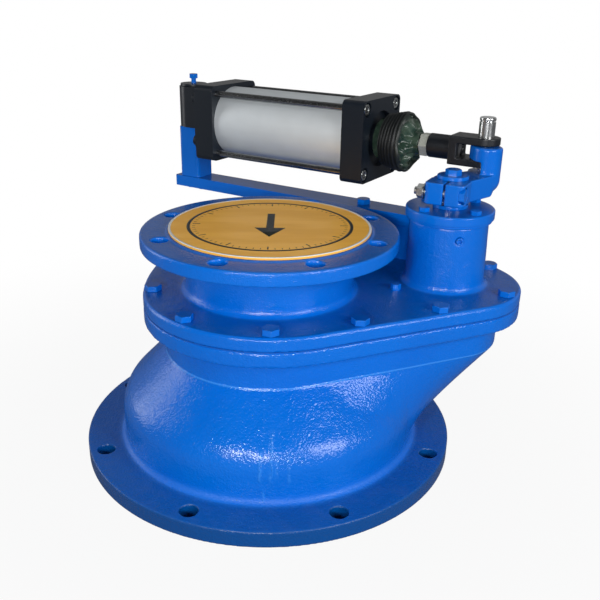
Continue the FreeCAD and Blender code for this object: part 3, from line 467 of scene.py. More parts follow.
def cast_skin():
    """Grainy, slightly lumpy skin of paint over a sand casting."""
    def fill(work, given):
        where = work.place()
        fine = work.noise(where, given["Grain"], 1.0)
        coarse = work.noise(where, work.math("MULTIPLY", given["Grain"], 0.28), 2.0)
        lumps = work.noise(where, 38.0, 2.0)
        patch = work.spread(work.noise(where, 14.0, 1.0), 0.35, 0.65, 0.70, 1.0)
        grain = work.math("MULTIPLY", work.math("ADD", fine, coarse), patch)
        height = work.math("ADD", work.math("MULTIPLY", grain, given["Strength"]),
                           work.math("MULTIPLY", lumps, given["Lumps"]))
        return {"Height": height, "Grain mask": fine}
    return effect("cast skin", [("Grain", "value", 900.0), ("Strength", "value", 1.0),
                                ("Lumps", "value", 1.0)],
                  [("Height", "value"), ("Grain mask", "value")], fill)


def tone_drift():
    """Slow change between two tones, as paint or wood varies over a surface."""
    def fill(work, given):
        where = work.add("ShaderNodeVectorMath", {0: work.place(), 1: given["Stretch"]},
                         operation="MULTIPLY").outputs[0]
        drift = work.noise(where, given["Scale"], 4.0, 0.55)
        share = work.spread(drift, 0.36, 0.64)
        return {"Colour": work.mix(share, given["One"], given["Two"]), "Share": share}
    return effect("tone drift", [("One", "colour", (1, 1, 1, 1)), ("Two", "colour", (0, 0, 0, 1)),
                                 ("Scale", "value", 12.0), ("Stretch", "vector", (1, 1, 1))],
                  [("Colour", "colour"), ("Share", "value")], fill)


def edge_wear():
    """Mask that is high on rubbed outer edges and zero on flat faces."""
    def fill(work, given):
        sharp = work.add("ShaderNodeNewGeometry").outputs["Pointiness"]
        edge = work.spread(sharp, 0.505, 0.56)
        rub = work.spread(work.noise(work.place(), 160.0, 3.0), 0.4, 0.7)
        worn = work.math("MULTIPLY", edge, work.math("MULTIPLY", rub, given["Amount"]), clamp=True)
        return {"Mask": worn}
    return effect("edge wear", [("Amount", "value", 1.0)], [("Mask", "value")], fill)


def machine_lines():
    """Fine lines of turning, drawing or brushing along one direction."""
    def fill(work, given):
        where = work.add("ShaderNodeVectorMath", {0: work.place(), 1: given["Stretch"]},
                         operation="MULTIPLY").outputs[0]
        lines = work.noise(where, given["Scale"], 3.0, 0.6)
        return {"Height": lines, "Share": work.spread(lines, 0.3, 0.7)}
    return effect("machine lines", [("Scale", "value", 400.0), ("Stretch", "vector", (1, 1, 1))],
                  [("Height", "value"), ("Share", "value")], fill)


def settled_dust():
    """Thin dust on faces that look up."""
    def fill(work, given):
        up = work.add("ShaderNodeSeparateXYZ",
                      {0: work.add("ShaderNodeNewGeometry").outputs["Normal"]}).outputs[2]
        lying = work.spread(up, 0.5, 1.0)
        cloud = work.spread(work.noise(work.place(), 55.0, 5.0, 0.65), 0.42, 0.75)
        return {"Mask": work.math("MULTIPLY", work.math("MULTIPLY", lying, cloud), given["Amount"])}
    return effect("settled dust", [("Amount", "value", 0.2)], [("Mask", "value")], fill)


def painted_shade():
    """Painted shade: darkens faces that look up, and all over below a height, where the hall is darker."""
    def fill(work, given):
        up = work.add("ShaderNodeSeparateXYZ",
                      {0: work.add("ShaderNodeNewGeometry").outputs["Normal"]}).outputs[2]
        height = work.add("ShaderNodeSeparateXYZ", {0: work.place()}).outputs[2]
        lying = work.math("MULTIPLY", work.spread(up, 0.86, 0.99), given["Upward"])
        top = work.math("ADD", given["Low height"], 2.5 * MM)
        low = work.math("MULTIPLY", work.spread(height, given["Low height"], top, 1.0, 0.0), given["Low"])
        return {"Mask": work.math("MAXIMUM", lying, low)}
    return effect("painted shade", [("Upward", "value", 0.5), ("Low", "value", 0.0),
                                ("Low height", "value", 0.0)], [("Mask", "value")], fill)


def casting_marks():
    """Bead of paint along the body's crease, and the mould joint and scars on its front, with a painted
    highlight of lighter blue on the bead and the scars.
    """
    def fill(work, given):
        where = work.add("ShaderNodeSeparateXYZ", {0: work.place()}).outputs
        crease = work.band(where["Z"], CREASE_Z, CREASE_BEAD_W)
        sway = work.noise(work.place((0.01, 0.01, 1.0)), 60.0)
        across = work.math("ADD", where["X"], work.math("MULTIPLY", work.math("SUBTRACT", sway, 0.5), 7 * MM))
        broken = work.spread(work.noise(work.place((2.4, 0.01, 1.0)), 170.0), 0.40, 0.60, 0.15, 1.0)
        front = work.spread(where["Y"], FRONT_START[0], FRONT_START[1], 1.0, 0.0)
        marks, scars = work.math("MULTIPLY", crease, 0.22), 0.0
        for x, z_low, z_high, width, height in SEAMS:
            middle_z, half_z = (z_low + z_high) / 2 * MM, (z_high - z_low) / 2 * MM
            tall = work.math("MULTIPLY", work.band(where["Z"], middle_z, half_z), 2.0, clamp=True)
            line = work.math("MULTIPLY", work.band(across, x * MM, width * MM), tall)
            line = work.math("MULTIPLY", work.math("MULTIPLY", line, broken), front)
            marks = work.math("ADD", marks, work.math("MULTIPLY", line, height))
            scars = work.math("MAXIMUM", scars, work.math("MULTIPLY", line, abs(height)))
        # Painted highlight: lighter blue along the crease bead and over the scars
        painted_highlight = work.math("MAXIMUM", work.math("MULTIPLY", crease, 0.45), work.math("MULTIPLY", scars, 0.5))
        return {"Height": work.math("MULTIPLY", marks, given["Amount"]), "Painted highlight": painted_highlight}
    return effect("casting marks", [("Amount", "value", 1.0)],
                  [("Height", "value"), ("Painted highlight", "value")], fill)


EFFECTS = {"cast skin": cast_skin, "tone drift": tone_drift, "edge wear": edge_wear,
           "machine lines": machine_lines, "settled dust": settled_dust, "painted shade": painted_shade,
           "casting marks": casting_marks}

DUST = (0.42, 0.43, 0.42, 1.0)


def material(name, fill):
    """A named material, built once. fill gets its tree and its Principled shader."""
    made = bpy.data.materials.get("finish_" + name)
    if made:
        return made
    made = bpy.data.materials.new("finish_" + name)
    made.use_nodes = True
    made.node_tree.nodes.clear()
    work = Tree(made.node_tree)
    shader = work.add("ShaderNodeBsdfPrincipled")
    out = work.add("ShaderNodeOutputMaterial")
    work.feed(out.inputs["Surface"], shader.outputs[0])
    fill(work, shader.inputs)
    return made


def bump(work, sockets, height, distance):
    """Feeds the shader's normal from a height, where 1 stands for the distance."""
    node = work.add("ShaderNodeBump", {"Height": height, "Distance": distance, "Strength": 1.0})
    work.feed(sockets["Normal"], node.outputs[0])


def paint(name, strength, distance, low=0.0, low_height=0.0, marks=0.0, grain=560.0):
    """Glossy blue enamel; strength, distance and grain set how rough the iron below is.

    low is how strongly painted shade darkens it below low_height, and marks how strong the casting's marks
    are.
    """
    tones = bpy.context.scene.valve_colours

    def fill(work, sockets):
        drift = work.group("tone drift", Scale=9.0)
        share = work.math("MULTIPLY", drift.outputs["Share"], 0.3)
        base = work.mix(share, tones.paint, tones.paint_deep)
        # Painted shade: the base darkens to the shaded colour on faces that look up and below low_height
        painted_shade_mask = work.group("painted shade", Upward=0.55, Low=low, Low_height=low_height).outputs["Mask"]
        base = work.mix(painted_shade_mask, base, tones.paint_shaded)
        if marks:
            marked = work.group("casting marks", Amount=marks).outputs
            # Painted highlight: the base lightens where the crease bead and scars are
            base = work.mix(marked["Painted highlight"], base, tones.paint_highlight)
        dust = work.group("settled dust", Amount=0.02).outputs["Mask"]
        work.feed(sockets["Base Color"], work.mix(dust, base, DUST))
        skin = work.group("cast skin", Grain=grain, Strength=strength, Lumps=1.0)
        rough = work.spread(skin.outputs["Grain mask"], 0.2, 0.8, 0.15, 0.25)
        if low:
            level = work.add("ShaderNodeSeparateXYZ", {0: work.place()}).outputs[2]
            foot = work.band(level, low_height + 6 * MM, 12 * MM)
            rough = work.math("ADD", rough, work.math("MULTIPLY", foot, 0.35))
        work.feed(sockets["Roughness"], work.math("ADD", rough, work.math("MULTIPLY", dust, 1.5)))
        sockets["Specular IOR Level"].default_value = 0.48
        sockets["Coat Weight"].default_value = 0.08
        sockets["Coat Roughness"].default_value = 0.10
        height = skin.outputs["Height"]
        if marks:
            height = work.math("ADD", height, marked["Height"])
        bump(work, sockets, height, distance)
    return material(name, fill)


def metal(name, tone, roughness, lines, stretch, distance=0.02 * MM, metallic=1.0):
    """Bare or plated metal with fine machining lines."""
    def fill(work, sockets):
        grain = work.group("machine lines", Scale=lines, Stretch=stretch)
        light = tuple(min(1.0, c * 1.25) for c in tone[:3]) + (1.0,)
        work.feed(sockets["Base Color"], work.mix(grain.outputs["Share"], tone, light))
        work.feed(sockets["Roughness"],
                  work.spread(grain.outputs["Height"], 0.25, 0.75, roughness * 0.8, roughness * 1.2))
        sockets["Metallic"].default_value = metallic
        bump(work, sockets, grain.outputs["Height"], distance)
    return material(name, fill)


def dark_skin(name, tone, roughness, grain, distance, wear=0.0):
    """Black anodised or blackened surface: satin, faintly grained, dusty on top."""
    def fill(work, sockets):
        skin = work.group("cast skin", Grain=grain, Strength=1.0, Lumps=0.2)
        dust = work.group("settled dust", Amount=0.02).outputs["Mask"]
        base = tone
        if wear:
            worn = work.group("edge wear", Amount=wear).outputs["Mask"]
            base = work.mix(worn, tone, (0.16, 0.165, 0.17, 1.0))
        work.feed(sockets["Base Color"], work.mix(dust, base, DUST))
        work.feed(sockets["Roughness"],
                  work.spread(skin.outputs["Grain mask"], 0.2, 0.8, roughness - 0.06, roughness + 0.08))
        bump(work, sockets, skin.outputs["Height"], distance)
    return material(name, fill)


def board_varnish():
    """Varnished board with a soft drift between two warm tones."""
    tones = bpy.context.scene.valve_colours

    def fill(work, sockets):
        figure = work.group("tone drift", Scale=16.0, Stretch=(0.35, 1.6, 1.0))
        grain = work.group("machine lines", Scale=260.0, Stretch=(0.08, 1.0, 1.0))
        share = work.math("MULTIPLY", figure.outputs["Share"], 0.38)
        base = work.mix(share, tones.board, tones.board_dark)
        base = work.mix(work.math("MULTIPLY", grain.outputs["Share"], 0.10), base, tones.board_dark)
        work.feed(sockets["Base Color"], base)
        work.feed(sockets["Roughness"], work.spread(figure.outputs["Share"], 0.0, 1.0, 0.34, 0.46))
        bump(work, sockets, grain.outputs["Height"], 0.02 * MM)
    return material("board", fill)


def plain(name, tone, roughness, grain=500.0, distance=0.05 * MM):
    """Matt surface with a faint grain, such as rubber, fibre, ink or a sheet's edge."""
    def fill(work, sockets):
        skin = work.group("cast skin", Grain=grain, Strength=1.0, Lumps=0.5)
        darker = tuple(c * 0.8 for c in tone[:3]) + (1.0,)
        work.feed(sockets["Base Color"], work.mix(skin.outputs["Grain mask"], tone, darker))
        work.feed(sockets["Roughness"],
                  work.spread(skin.outputs["Grain mask"], 0.2, 0.8, roughness - 0.05, roughness + 0.05))
        bump(work, sockets, skin.outputs["Height"], distance)
    return material(name, fill)


def gaiter_cloth():
    """Coated cloth: dull dark folds and a creased, shinier green face."""
    tones = bpy.context.scene.valve_colours

    def fill(work, sockets):
        face = work.add("ShaderNodeAttribute", attribute_name="face").outputs["Fac"]
        weave = work.group("machine lines", Scale=900.0, Stretch=(1.0, 1.0, 1.0))
        drift = work.group("tone drift", One=tones.gaiter_green, Two=(0.060, 0.095, 0.068, 1.0), Scale=45.0)
        work.feed(sockets["Base Color"], work.mix(face, tones.gaiter_dark, drift.outputs["Colour"]))
        work.feed(sockets["Roughness"], work.spread(face, 0.0, 1.0, 0.46, 0.26))
        bump(work, sockets, weave.outputs["Height"], 0.06 * MM)
    return material("gaiter", fill)


def half_painted():
    """Zinc plated bolt whose head took paint with the lever."""
    tones = bpy.context.scene.valve_colours

    def fill(work, sockets):
        across = Vector((math.cos(CLAMP_TURN), math.sin(CLAMP_TURN), 0.0))
        reach = work.add("ShaderNodeVectorMath", {0: work.place(), 1: across}, operation="DOT_PRODUCT")
        slit = SHAFT.dot(across.xy)
        painted = work.spread(reach.outputs["Value"], slit - 1 * MM, slit + 1 * MM)
        grain = work.group("machine lines", Scale=500.0)
        zinc = work.mix(grain.outputs["Share"], (0.5, 0.52, 0.51, 1), (0.62, 0.64, 0.63, 1))
        work.feed(sockets["Base Color"], work.mix(painted, zinc, tones.paint))
        work.feed(sockets["Metallic"], work.math("SUBTRACT", 1.0, painted))
        work.feed(sockets["Roughness"], work.spread(grain.outputs["Height"], 0.25, 0.75, 0.26, 0.36))
        bump(work, sockets, grain.outputs["Height"], 0.03 * MM)
    return material("clamp_finish", fill)


def tube_metal():
    """Clear anodised tube, drawn along the cylinder's axis."""
    tones = bpy.context.scene.valve_colours

    def fill(work, sockets):
        where = work.add("ShaderNodeVectorRotate", {"Vector": work.place(), "Angle": -AXIS_TURN},
                         rotation_type="Z_AXIS").outputs[0]
        drawn = work.add("ShaderNodeMapping", {"Vector": where, "Scale": (0.02, 1.0, 1.0)}).outputs[0]
        lines = work.noise(drawn, 900.0, 3.0, 0.6)
        cloud = work.noise(where, 24.0, 3.0)
        work.feed(sockets["Base Color"], work.mix(work.spread(cloud, 0.3, 0.7), tuple(tones.tube),
                                                  tuple(c * 0.96 for c in tones.tube[:3]) + (1.0,)))
        work.feed(sockets["Roughness"], work.spread(lines, 0.25, 0.75, 0.46, 0.58))
        sockets["Metallic"].default_value = 0.55
        bump(work, sockets, lines, 0.015 * MM)
    return material("anodised_tube", fill)


FINISHES = {
    "blue_paint": lambda: paint("cast_paint", strength=1.0, distance=0.60 * MM),
    "body_paint": lambda: paint("body_paint", strength=1.0, distance=0.80 * MM, low=0.95,
                                low_height=FLANGE_T - 1.0 * MM, marks=1.2, grain=380.0),
    "smooth_paint": lambda: paint("smooth_paint", strength=0.35, distance=0.30 * MM),
    "gasket_sheet": lambda: plain("gasket", (0.0, 0.105, 0.54, 1.0), 0.40),
    "wear_alloy": lambda: metal("wear_alloy", (0.42, 0.42, 0.43, 1), 0.30, 900.0, (1, 1, 1)),
    "machined_steel": lambda: metal("machined_steel", (0.50, 0.50, 0.51, 1), 0.26, 700.0, (1, 1, 0.2)),
    "bronze": lambda: metal("bronze", (0.55, 0.36, 0.15, 1), 0.32, 700.0, (1, 1, 0.2)),
    "packing": lambda: plain("packing", (0.03, 0.03, 0.032, 1), 0.6),
    "cast_iron": lambda: metal("cast_iron", (0.10, 0.10, 0.105, 1), 0.55, 500.0, (1, 1, 1),
                               distance=0.3 * MM, metallic=0.6),
    "spring_steel": lambda: metal("spring_steel", (0.2, 0.2, 0.21, 1), 0.35, 600.0, (1, 1, 1)),
    "zinc_plate": lambda: metal("zinc_plate", (0.55, 0.57, 0.56, 1), 0.30, 500.0, (1, 1, 0.3)),
    "clamp_finish": half_painted,
    "bright_pin": lambda: metal("bright_pin", (0.80, 0.83, 0.84, 1), 0.24, 900.0, (1, 1, 0.04),
                                distance=0.004 * MM),
    "dull_zinc": lambda: metal("dull_zinc", (0.52, 0.54, 0.48, 1), 0.50, 500.0, (1, 1, 1),
                               distance=0.01 * MM, metallic=0.55),
    "black_oxide": lambda: dark_skin("black_oxide", (0.008, 0.010, 0.014, 1), roughness=0.36, grain=700.0,
                                     distance=0.22 * MM, wear=0.25),
    "black_anodised": lambda: dark_skin("black_anodised", tuple(bpy.context.scene.valve_colours.black),
                                        roughness=0.33, grain=1500.0, distance=0.04 * MM),
    "anodised_tube": tube_metal,
    "chromed_rod": lambda: metal("chromed_rod", (0.34, 0.35, 0.36, 1), 0.24, 700.0, (1, 1, 1)),
    "cast_aluminium": lambda: metal("cast_aluminium", (0.55, 0.55, 0.56, 1), 0.3, 700.0, (1, 1, 1)),
    "gaiter_cloth": gaiter_cloth,
    "board_wood": board_varnish,
    "print": lambda: plain("print", tuple(bpy.context.scene.valve_colours.print_black), 0.4, 900.0,
                           0.01 * MM),
    "board_edge": lambda: plain("board_edge", (0.80, 0.80, 0.78, 1), 0.5, 400.0),
}


def finished(obj, finish):
    """Gives an object one finish all over."""
    obj.data.materials.clear()
    obj.data.materials.append(FINISHES[finish]())


def refine(names, finish, width=0.0):
    """CAD nodes whose shape stands: a finish, and a small rounding where width is given."""
    for name in names:
        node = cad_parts[name]
        finished(node, finish)
        if width:
            rounded(node, width)


# Pieces

def fade(values, low, high):
    """0 below low, 1 above high and smooth between them."""
    share = np.clip((values - low) / (high - low), 0.0, 1.0)
    return share * share * (3 - 2 * share)


def waves(points, grain, height):
    """Slow waves of a cast surface."""
    return np.array([noise.noise(Vector(p) * grain) for p in points]) * height


def body_blend(points):
    """Where dome, chute and wall flow into each other: between the flange and the rim."""
    return fade(points[:, 2], *FOOT_BLEND) * (1 - fade(points[:, 2], *CREASE_BLEND))


def body_relief(points):
    """The body's waves, none on its flange."""
    return waves(points, 18.0, 0.35 * MM) * fade(points[:, 2], *WAVES_START)


def wall_reach(turn):
    """Distance from the port's axis to the chamber's front wall, in one direction, at the crease.

    The wall wraps circles that shrink from the port's lobe to the shaft's lobe.
    """
    way = Vector((math.cos(turn), math.sin(turn)))
    reach = 0.0
    for i in range(WALL_LOBES + 1):
        centre = SHAFT * i / WALL_LOBES
        radius = PORT_WALL_R + (SHAFT_WALL_R - PORT_WALL_R) * i / WALL_LOBES
        ahead = way.dot(centre)
        across = centre.length_squared - ahead ** 2
        if across < radius ** 2:
            reach = max(reach, ahead + math.sqrt(radius ** 2 - across))
    return reach


def belly_shell(steps=120, rows=24):
    """Arc of metal that carries the slope from the wall's crease out to the belly, at the front."""
    verts = []
    for i in range(steps + 1):
        turn = BELLY_ARC[0] + (BELLY_ARC[1] - BELLY_ARC[0]) * i / steps
        wall = wall_reach(turn)
        backing = BELLY_BACKING * min(1.0, (wall - PORT_WALL_R) / BELLY_BACKING_REACH)
        outer, inner = [], []
        for row in range(rows + 1):
            share = row / rows
            arch = math.sin(math.pi * share)
            r = wall + (BELLY_R - wall) * share + BELLY_ARCH * arch
            z = CREASE_Z + (BELLY_Z - CREASE_Z) * share
            deep = r - BELLY_WALL - backing * arch
            outer.append((r * math.cos(turn), r * math.sin(turn), z))
            inner.append((deep * math.cos(turn), deep * math.sin(turn), z))
        verts += outer + inner[::-1]
    around = 2 * (rows + 1)
    faces = ring_faces(steps + 1, around, closed=False)
    faces += [tuple(range(around)), tuple(range(steps * around, (steps + 1) * around))]
    return built("belly_shell", verts, faces)


def true_flange(obj):
    """Brings the outlet flange's turned faces and edges back to their exact place."""
    points = points_of(obj.data)
    r, z = np.hypot(points[:, 0], points[:, 1]), points[:, 2].copy()
    new_r, new_z = r.copy(), z.copy()
    turned = (r > OUTLET_FLANGE_R - FLANGE_FACE_W) & (z < FLANGE_T + FLANGE_EDGE)
    rim = (r > OUTLET_FLANGE_R - FLANGE_SKIN) & (z > FLANGE_EDGE) & (z < FLANGE_T - FLANGE_EDGE)
    new_r[turned & rim] = OUTLET_FLANGE_R
    face = (r <= OUTLET_FLANGE_R - FLANGE_EDGE) & (np.abs(z - FLANGE_T) < FLANGE_EDGE)
    new_z[turned & face] = FLANGE_T
    for edge_z, outward in ((FLANGE_EDGE, -1), (FLANGE_T - FLANGE_EDGE, 1)):
        side, rise = r - (OUTLET_FLANGE_R - FLANGE_EDGE), z - edge_z
        corner = turned & (side > 0) & (rise * outward > 0)
        reach = FLANGE_EDGE / np.maximum(np.hypot(side, rise), 1e-9)
        new_r[corner] = (OUTLET_FLANGE_R - FLANGE_EDGE + side * reach)[corner]
        new_z[corner] = (edge_z + rise * reach)[corner]
    new_z[(z < 1.0 * MM) & (r < OUTLET_FLANGE_R - FLANGE_EDGE)] = 0.0
    points[:, :2] *= (new_r / np.maximum(r, 1e-9))[:, None]
    points[:, 2] = new_z
    set_points(obj, points)


def dress_body():
    sizes = bpy.context.scene.valve_sizes
    obj = cast("body_casting", "valve_body", sizes.casting_grain, sizes.casting_softness,
               sizes.most_triangles, body_relief, body_blend, sizes.blend_softness, belly_shell())
    true_flange(obj)
    finished(obj, "body_paint")
    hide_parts("valve_body")
    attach(obj, "housing")


def cover_relief(points):
    """The cover's waves, none on its machined flange."""
    return waves(points, 22.0, 0.25 * MM) * (1 - fade(points[:, 2], *COVER_WAVES_END))


def dress_cover():
    sizes = bpy.context.scene.valve_sizes
    obj = cast("cover_casting", "valve_cover", sizes.casting_grain * 0.8, sizes.casting_softness,
               sizes.most_triangles, cover_relief)
    finished(obj, "blue_paint")
    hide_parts("valve_cover")
    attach(obj, "housing")


def dress_fasteners():
    sizes = bpy.context.scene.valve_sizes
    refine(["cover_gasket"], "gasket_sheet")
    refine(["cover_bolts", "cover_plug", "tower_plug", "bearing_cap", "cap_bolts", "shaft_seal"],
           "smooth_paint", sizes.edge_round)


def board_edge():
    """White edge of the board, which stands a little proud of its face."""
    outer, inner = BOARD_R - 0.2 * MM, BOARD_R - 0.2 * MM - BOARD_EDGE_W
    edge = lathe("board_edge", [(inner, BOARD_TOP - 0.3 * MM), (outer, BOARD_TOP - 0.8 * MM),
                                (outer, BOARD_TOP + 0.10 * MM), (inner, BOARD_TOP + 0.15 * MM)])
    finished(edge, "board_edge")
    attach(edge, "housing")


def board_print():
    """Printed ring, ticks and flow arrow, joined into one piece."""
    sizes = bpy.context.scene.valve_sizes
    low, high = BOARD_TOP - PRINT_DEPTH, BOARD_TOP + PRINT_PROUD
    inner, outer = sizes.ring_r - sizes.ring_w / 2, sizes.ring_r + sizes.ring_w / 2
    marks = [lathe("board_marks", [(inner, low), (outer, low), (outer, high), (inner, high)])]
    for i in range(TICKS):
        way = Vector((math.cos(math.tau * i / TICKS), math.sin(math.tau * i / TICKS)))
        deep, width = SHORT_TICK if i % TICKS_PER_LONG else LONG_TICK
        marks.append(stroke("tick", way * (sizes.ring_r - deep), way * (sizes.ring_r - TICK_END), width,
                            low, high))
    marks.append(prism("arrow", [(x * MM, y * MM) for x, y in ARROW], low, high,
                       Matrix.Rotation(math.radians(-90), 4, "Z")))
    joined = marks[0]
    with bpy.context.temp_override(active_object=joined, selected_editable_objects=marks):
        bpy.ops.object.join()
    finished(joined, "print")
    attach(joined, "housing")


def dress_board():
    """Transport board: a warm varnished disc with a white edge and its print."""
    refine(["inlet_board"], "board_wood", 0.4 * MM)
    board_edge()
    board_print()


def lever_foot(points):
    """Rounds the foot of the lever's column to a large radius, as its casting has it."""
    outward = np.array((FORK_PIN - SHAFT).normalized())
    hook = FORK_PIN + Vector((math.cos(HOOK_TURN), math.sin(HOOK_TURN))) * HOOK_REACH
    start, line = np.array(FORK_PIN), np.array(hook - FORK_PIN)
    share = np.clip(((points[:, :2] - start) @ line) / (line @ line), 0.0, 1.0)
    away = points[:, :2] - (start + share[:, None] * line)
    distance = np.linalg.norm(away, axis=1)
    side = distance - (COLUMN_R - FOOT_ROUND)
    down = (points[:, 2].min() + FOOT_ROUND) - points[:, 2]
    reach = np.hypot(side, down)
    outside = (side > 0) & (down > 0) & (reach > FOOT_ROUND)
    cut = np.where(outside, 1 - FOOT_ROUND / np.maximum(reach, 1e-9), 0.0)
    cut *= fade((points[:, :2] - np.array(hook)) @ outward, *FOOT_FADE)
    points[:, :2] -= away / np.maximum(distance, 1e-9)[:, None] * (side * cut)[:, None]
    points[:, 2] += down * cut
    return points


def dress_lever():
    sizes = bpy.context.scene.valve_sizes
    obj = cast("lever_casting", "lever", sizes.small_grain, sizes.casting_softness,
               sizes.most_triangles // 2)
    set_points(obj, lever_foot(points_of(obj.data)))
    smoothed(obj, 2 * sizes.casting_softness)
    obj.data.shade_smooth()
    finished(obj, "smooth_paint")
    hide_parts("lever")
    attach(obj, "rotor")
    refine(["end_washer", "end_bolt"], "smooth_paint", sizes.edge_round)
    refine(["clamp_bolt"], "clamp_finish", 0.3 * MM)


def dress_fork():
    sizes = bpy.context.scene.valve_sizes
    obj = cast("fork_forging", "rod_fork", sizes.small_grain, 3, sizes.most_triangles // 3)
    finished(obj, "black_oxide")
    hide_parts("rod_fork")
    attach(obj, "rod")
    refine(["fork_pin"], "bright_pin", 0.5 * MM)
    refine(["pin_clip"], "zinc_plate")
    refine(["lock_nut"], "dull_zinc", 0.5 * MM)
    refine(["piston_rod"], "machined_steel")


def gaiter_folds(turn):
    """How the cloth strays round the rod: a slow swirl, a drift and sharp folds."""
    swirl = noise.noise(Vector((math.cos(turn), math.sin(turn), 4.0)))
    drift = noise.noise(Vector((2 * math.cos(turn), 2 * math.sin(turn), 11.0)))
    folds = math.sin(turn * 4 + 2.4 * swirl) + 0.7 * math.sin(turn * 7 + 1.3 + 3 * swirl)
    return swirl, drift, folds


def gaiter_pleat(share, turn, pleats):
    """Pleats that widen away from the cylinder: place along the rod as a share, radius and lean."""
    swirl, drift, _ = gaiter_folds(turn)
    along_arc = math.sin(share * math.pi)
    phase = share * pleats + 0.30 * swirl * along_arc
    fold = 1 - abs(2 * (phase % 1.0) - 1)
    r = PLEAT_R + PLEAT_WIDENING * share ** 0.6 + (PLEAT_DEPTH + 1.2 * MM * drift) * fold
    lean = (2.6 * math.sin(turn + 0.5) + 2.0 * swirl) * MM * along_arc
    return COLLAR_END + (PLEAT_END - COLLAR_END) * share, r, lean


def gaiter_face(share, turn):
    """Creased face, gathered on to the rod: place along the rod as a share, radius and creases."""
    _, drift, folds = gaiter_folds(turn)
    gathered = min(1.0, share / FACE_GATHER_END)
    r = FACE_R + (1.4 * folds + 2.4 * drift) * MM * (1 - share) - FACE_IN * gathered
    crumple = noise.noise(Vector((r * 55 * math.cos(turn), r * 55 * math.sin(turn), 9.0)))
    sharp = abs(noise.noise(Vector((r * 90 * math.cos(turn), r * 90 * math.sin(turn), 3.0))))
    swell = math.sin(math.pi * min(1.0, 0.12 + 0.88 * share)) ** 0.5 if share < 1 else 0.0
    push = (-1.0 * swell + 3.0 * folds * (1 - 0.5 * share) + 8.5 * crumple - 11.0 * sharp) * MM * swell
    neck = max(0.0, (share - FACE_GATHER_END) / (1 - FACE_GATHER_END))
    return RIM_END + 0.02 * folds * (1 - share) + 0.16 * gathered ** 1.4 + 0.12 * neck, r, push


def gaiter_place(u, turn, pleats, reach):
    """Point of the gaiter: u runs from the cylinder to the rod, turn goes round it.

    A narrow collar, pleats that widen, a wrinkled rim, and a creased face gathered on to the rod.
    The last value is 1 on the green cloth and 0 on the black folds.
    """
    start, end = reach
    span = end - start
    if u < COLLAR_CLOTH:
        share = u / COLLAR_CLOTH
        return start + COLLAR_END * span * share, COLLAR_R + 1.0 * MM * share, 0.9
    if u < PLEAT_CLOTH:
        x, r, lean = gaiter_pleat((u - COLLAR_CLOTH) / (PLEAT_CLOTH - COLLAR_CLOTH), turn, pleats)
        return start + x * span + lean, r, 0.0
    if u < RIM_CLOTH:
        share = (u - PLEAT_CLOTH) / (RIM_CLOTH - PLEAT_CLOTH)
        _, drift, folds = gaiter_folds(turn)
        bulge = 2.6 * math.sin(share * math.pi) - 0.5 * share + (1.4 * folds + 2.4 * drift) * share
        x = PLEAT_END + (RIM_END - PLEAT_END) * share + 0.02 * folds * share
        return start + x * span, RIM_R + bulge * MM, 0.12
    share = (u - RIM_CLOTH) / (1 - RIM_CLOTH)
    x, r, push = gaiter_face(share, turn)
    return min(start + x * span + push, end), r, min(1.0, 0.25 + 3.0 * share)


def dress_gaiter():
    """Pleated boot round the rod: one closed sheet with a folded wall and a creased face."""
    sizes = bpy.context.scene.valve_sizes
    rows, steps = 190, 288
    reach = along("rod_gaiter")
    verts, shade = [], []
    for row in range(rows + 1):
        for i in range(steps):
            turn = math.tau * i / steps
            x, r, face = gaiter_place(row / rows, turn, sizes.gaiter_pleats, reach)
            verts.append((x, r * math.cos(turn), r * math.sin(turn)))
            shade.append(face)
    for x in (reach[1], reach[0]):
        for i in range(steps):
            turn = math.tau * i / steps
            verts.append((x, GAITER_BORE_R * math.cos(turn), GAITER_BORE_R * math.sin(turn)))
            shade.append(0.0)
    obj = built("gaiter_boot", verts, ring_faces(rows + 3, steps), AIR)
    attribute = obj.data.attributes.new("face", "FLOAT", "POINT")
    attribute.data.foreach_set("value", shade)
    smoothed(obj, 2)
    finished(obj, "gaiter_cloth")
    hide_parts("rod_gaiter")
    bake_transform(obj)


def dress_cylinder():
    refine(["front_cap", "rear_cap"], "black_anodised", 1.2 * MM)
    refine(["barrel_tube"], "anodised_tube", 0.3 * MM)
    refine(["tie_rods"], "chromed_rod")
    refine(["tie_nuts"], "zinc_plate", 0.3 * MM)
    refine(["rod_gland"], "bronze")
    refine(["rear_eye", "rear_screws"], "black_anodised", 0.4 * MM)
    refine(["piston"], "cast_aluminium")
    refine(["piston_seal"], "packing")


def dress_bracket():
    sizes = bpy.context.scene.valve_sizes
    refine(["bracket_beam", "pivot_post", "post_bolts", "beam_bolts", "pin_bolt"], "smooth_paint",
           sizes.edge_round)
    refine(["pivot_washer"], "black_anodised", 0.4 * MM)
    refine(["pivot_pin"], "machined_steel")


def dress_inside():
    """Seat, disc, arm, shaft and bearings, seen from below or with the cover off."""
    refine(["seat_ring", "disc_face"], "wear_alloy")
    refine(["seat_screws", "valve_shaft", "arm_key", "lever_key", "arm_washer", "arm_bolt", "disc_stub"],
           "machined_steel")
    refine(["lower_bush", "upper_bush", "thrust_washer", "lantern_ring"], "bronze")
    refine(["shaft_packing"], "packing")
    refine(["valve_disc"], "cast_iron", 0.8 * MM)
    refine(["swing_arm"], "blue_paint", 0.8 * MM)
    refine(["spring_washers"], "spring_steel")


# Studio

def lamp(name, place, target, size, power):
    """Soft rectangular lamp that faces its target."""
    data = bpy.data.lights.new(name, "AREA")
    data.shape = "RECTANGLE"
    data.size, data.size_y = size
    data.energy = power
    obj = bpy.data.objects.new(name, data)
    bpy.context.scene.collection.objects.link(obj)
    obj.location = place
    obj.rotation_euler = (Vector(target) - Vector(place)).to_track_quat("-Z", "Y").to_euler()


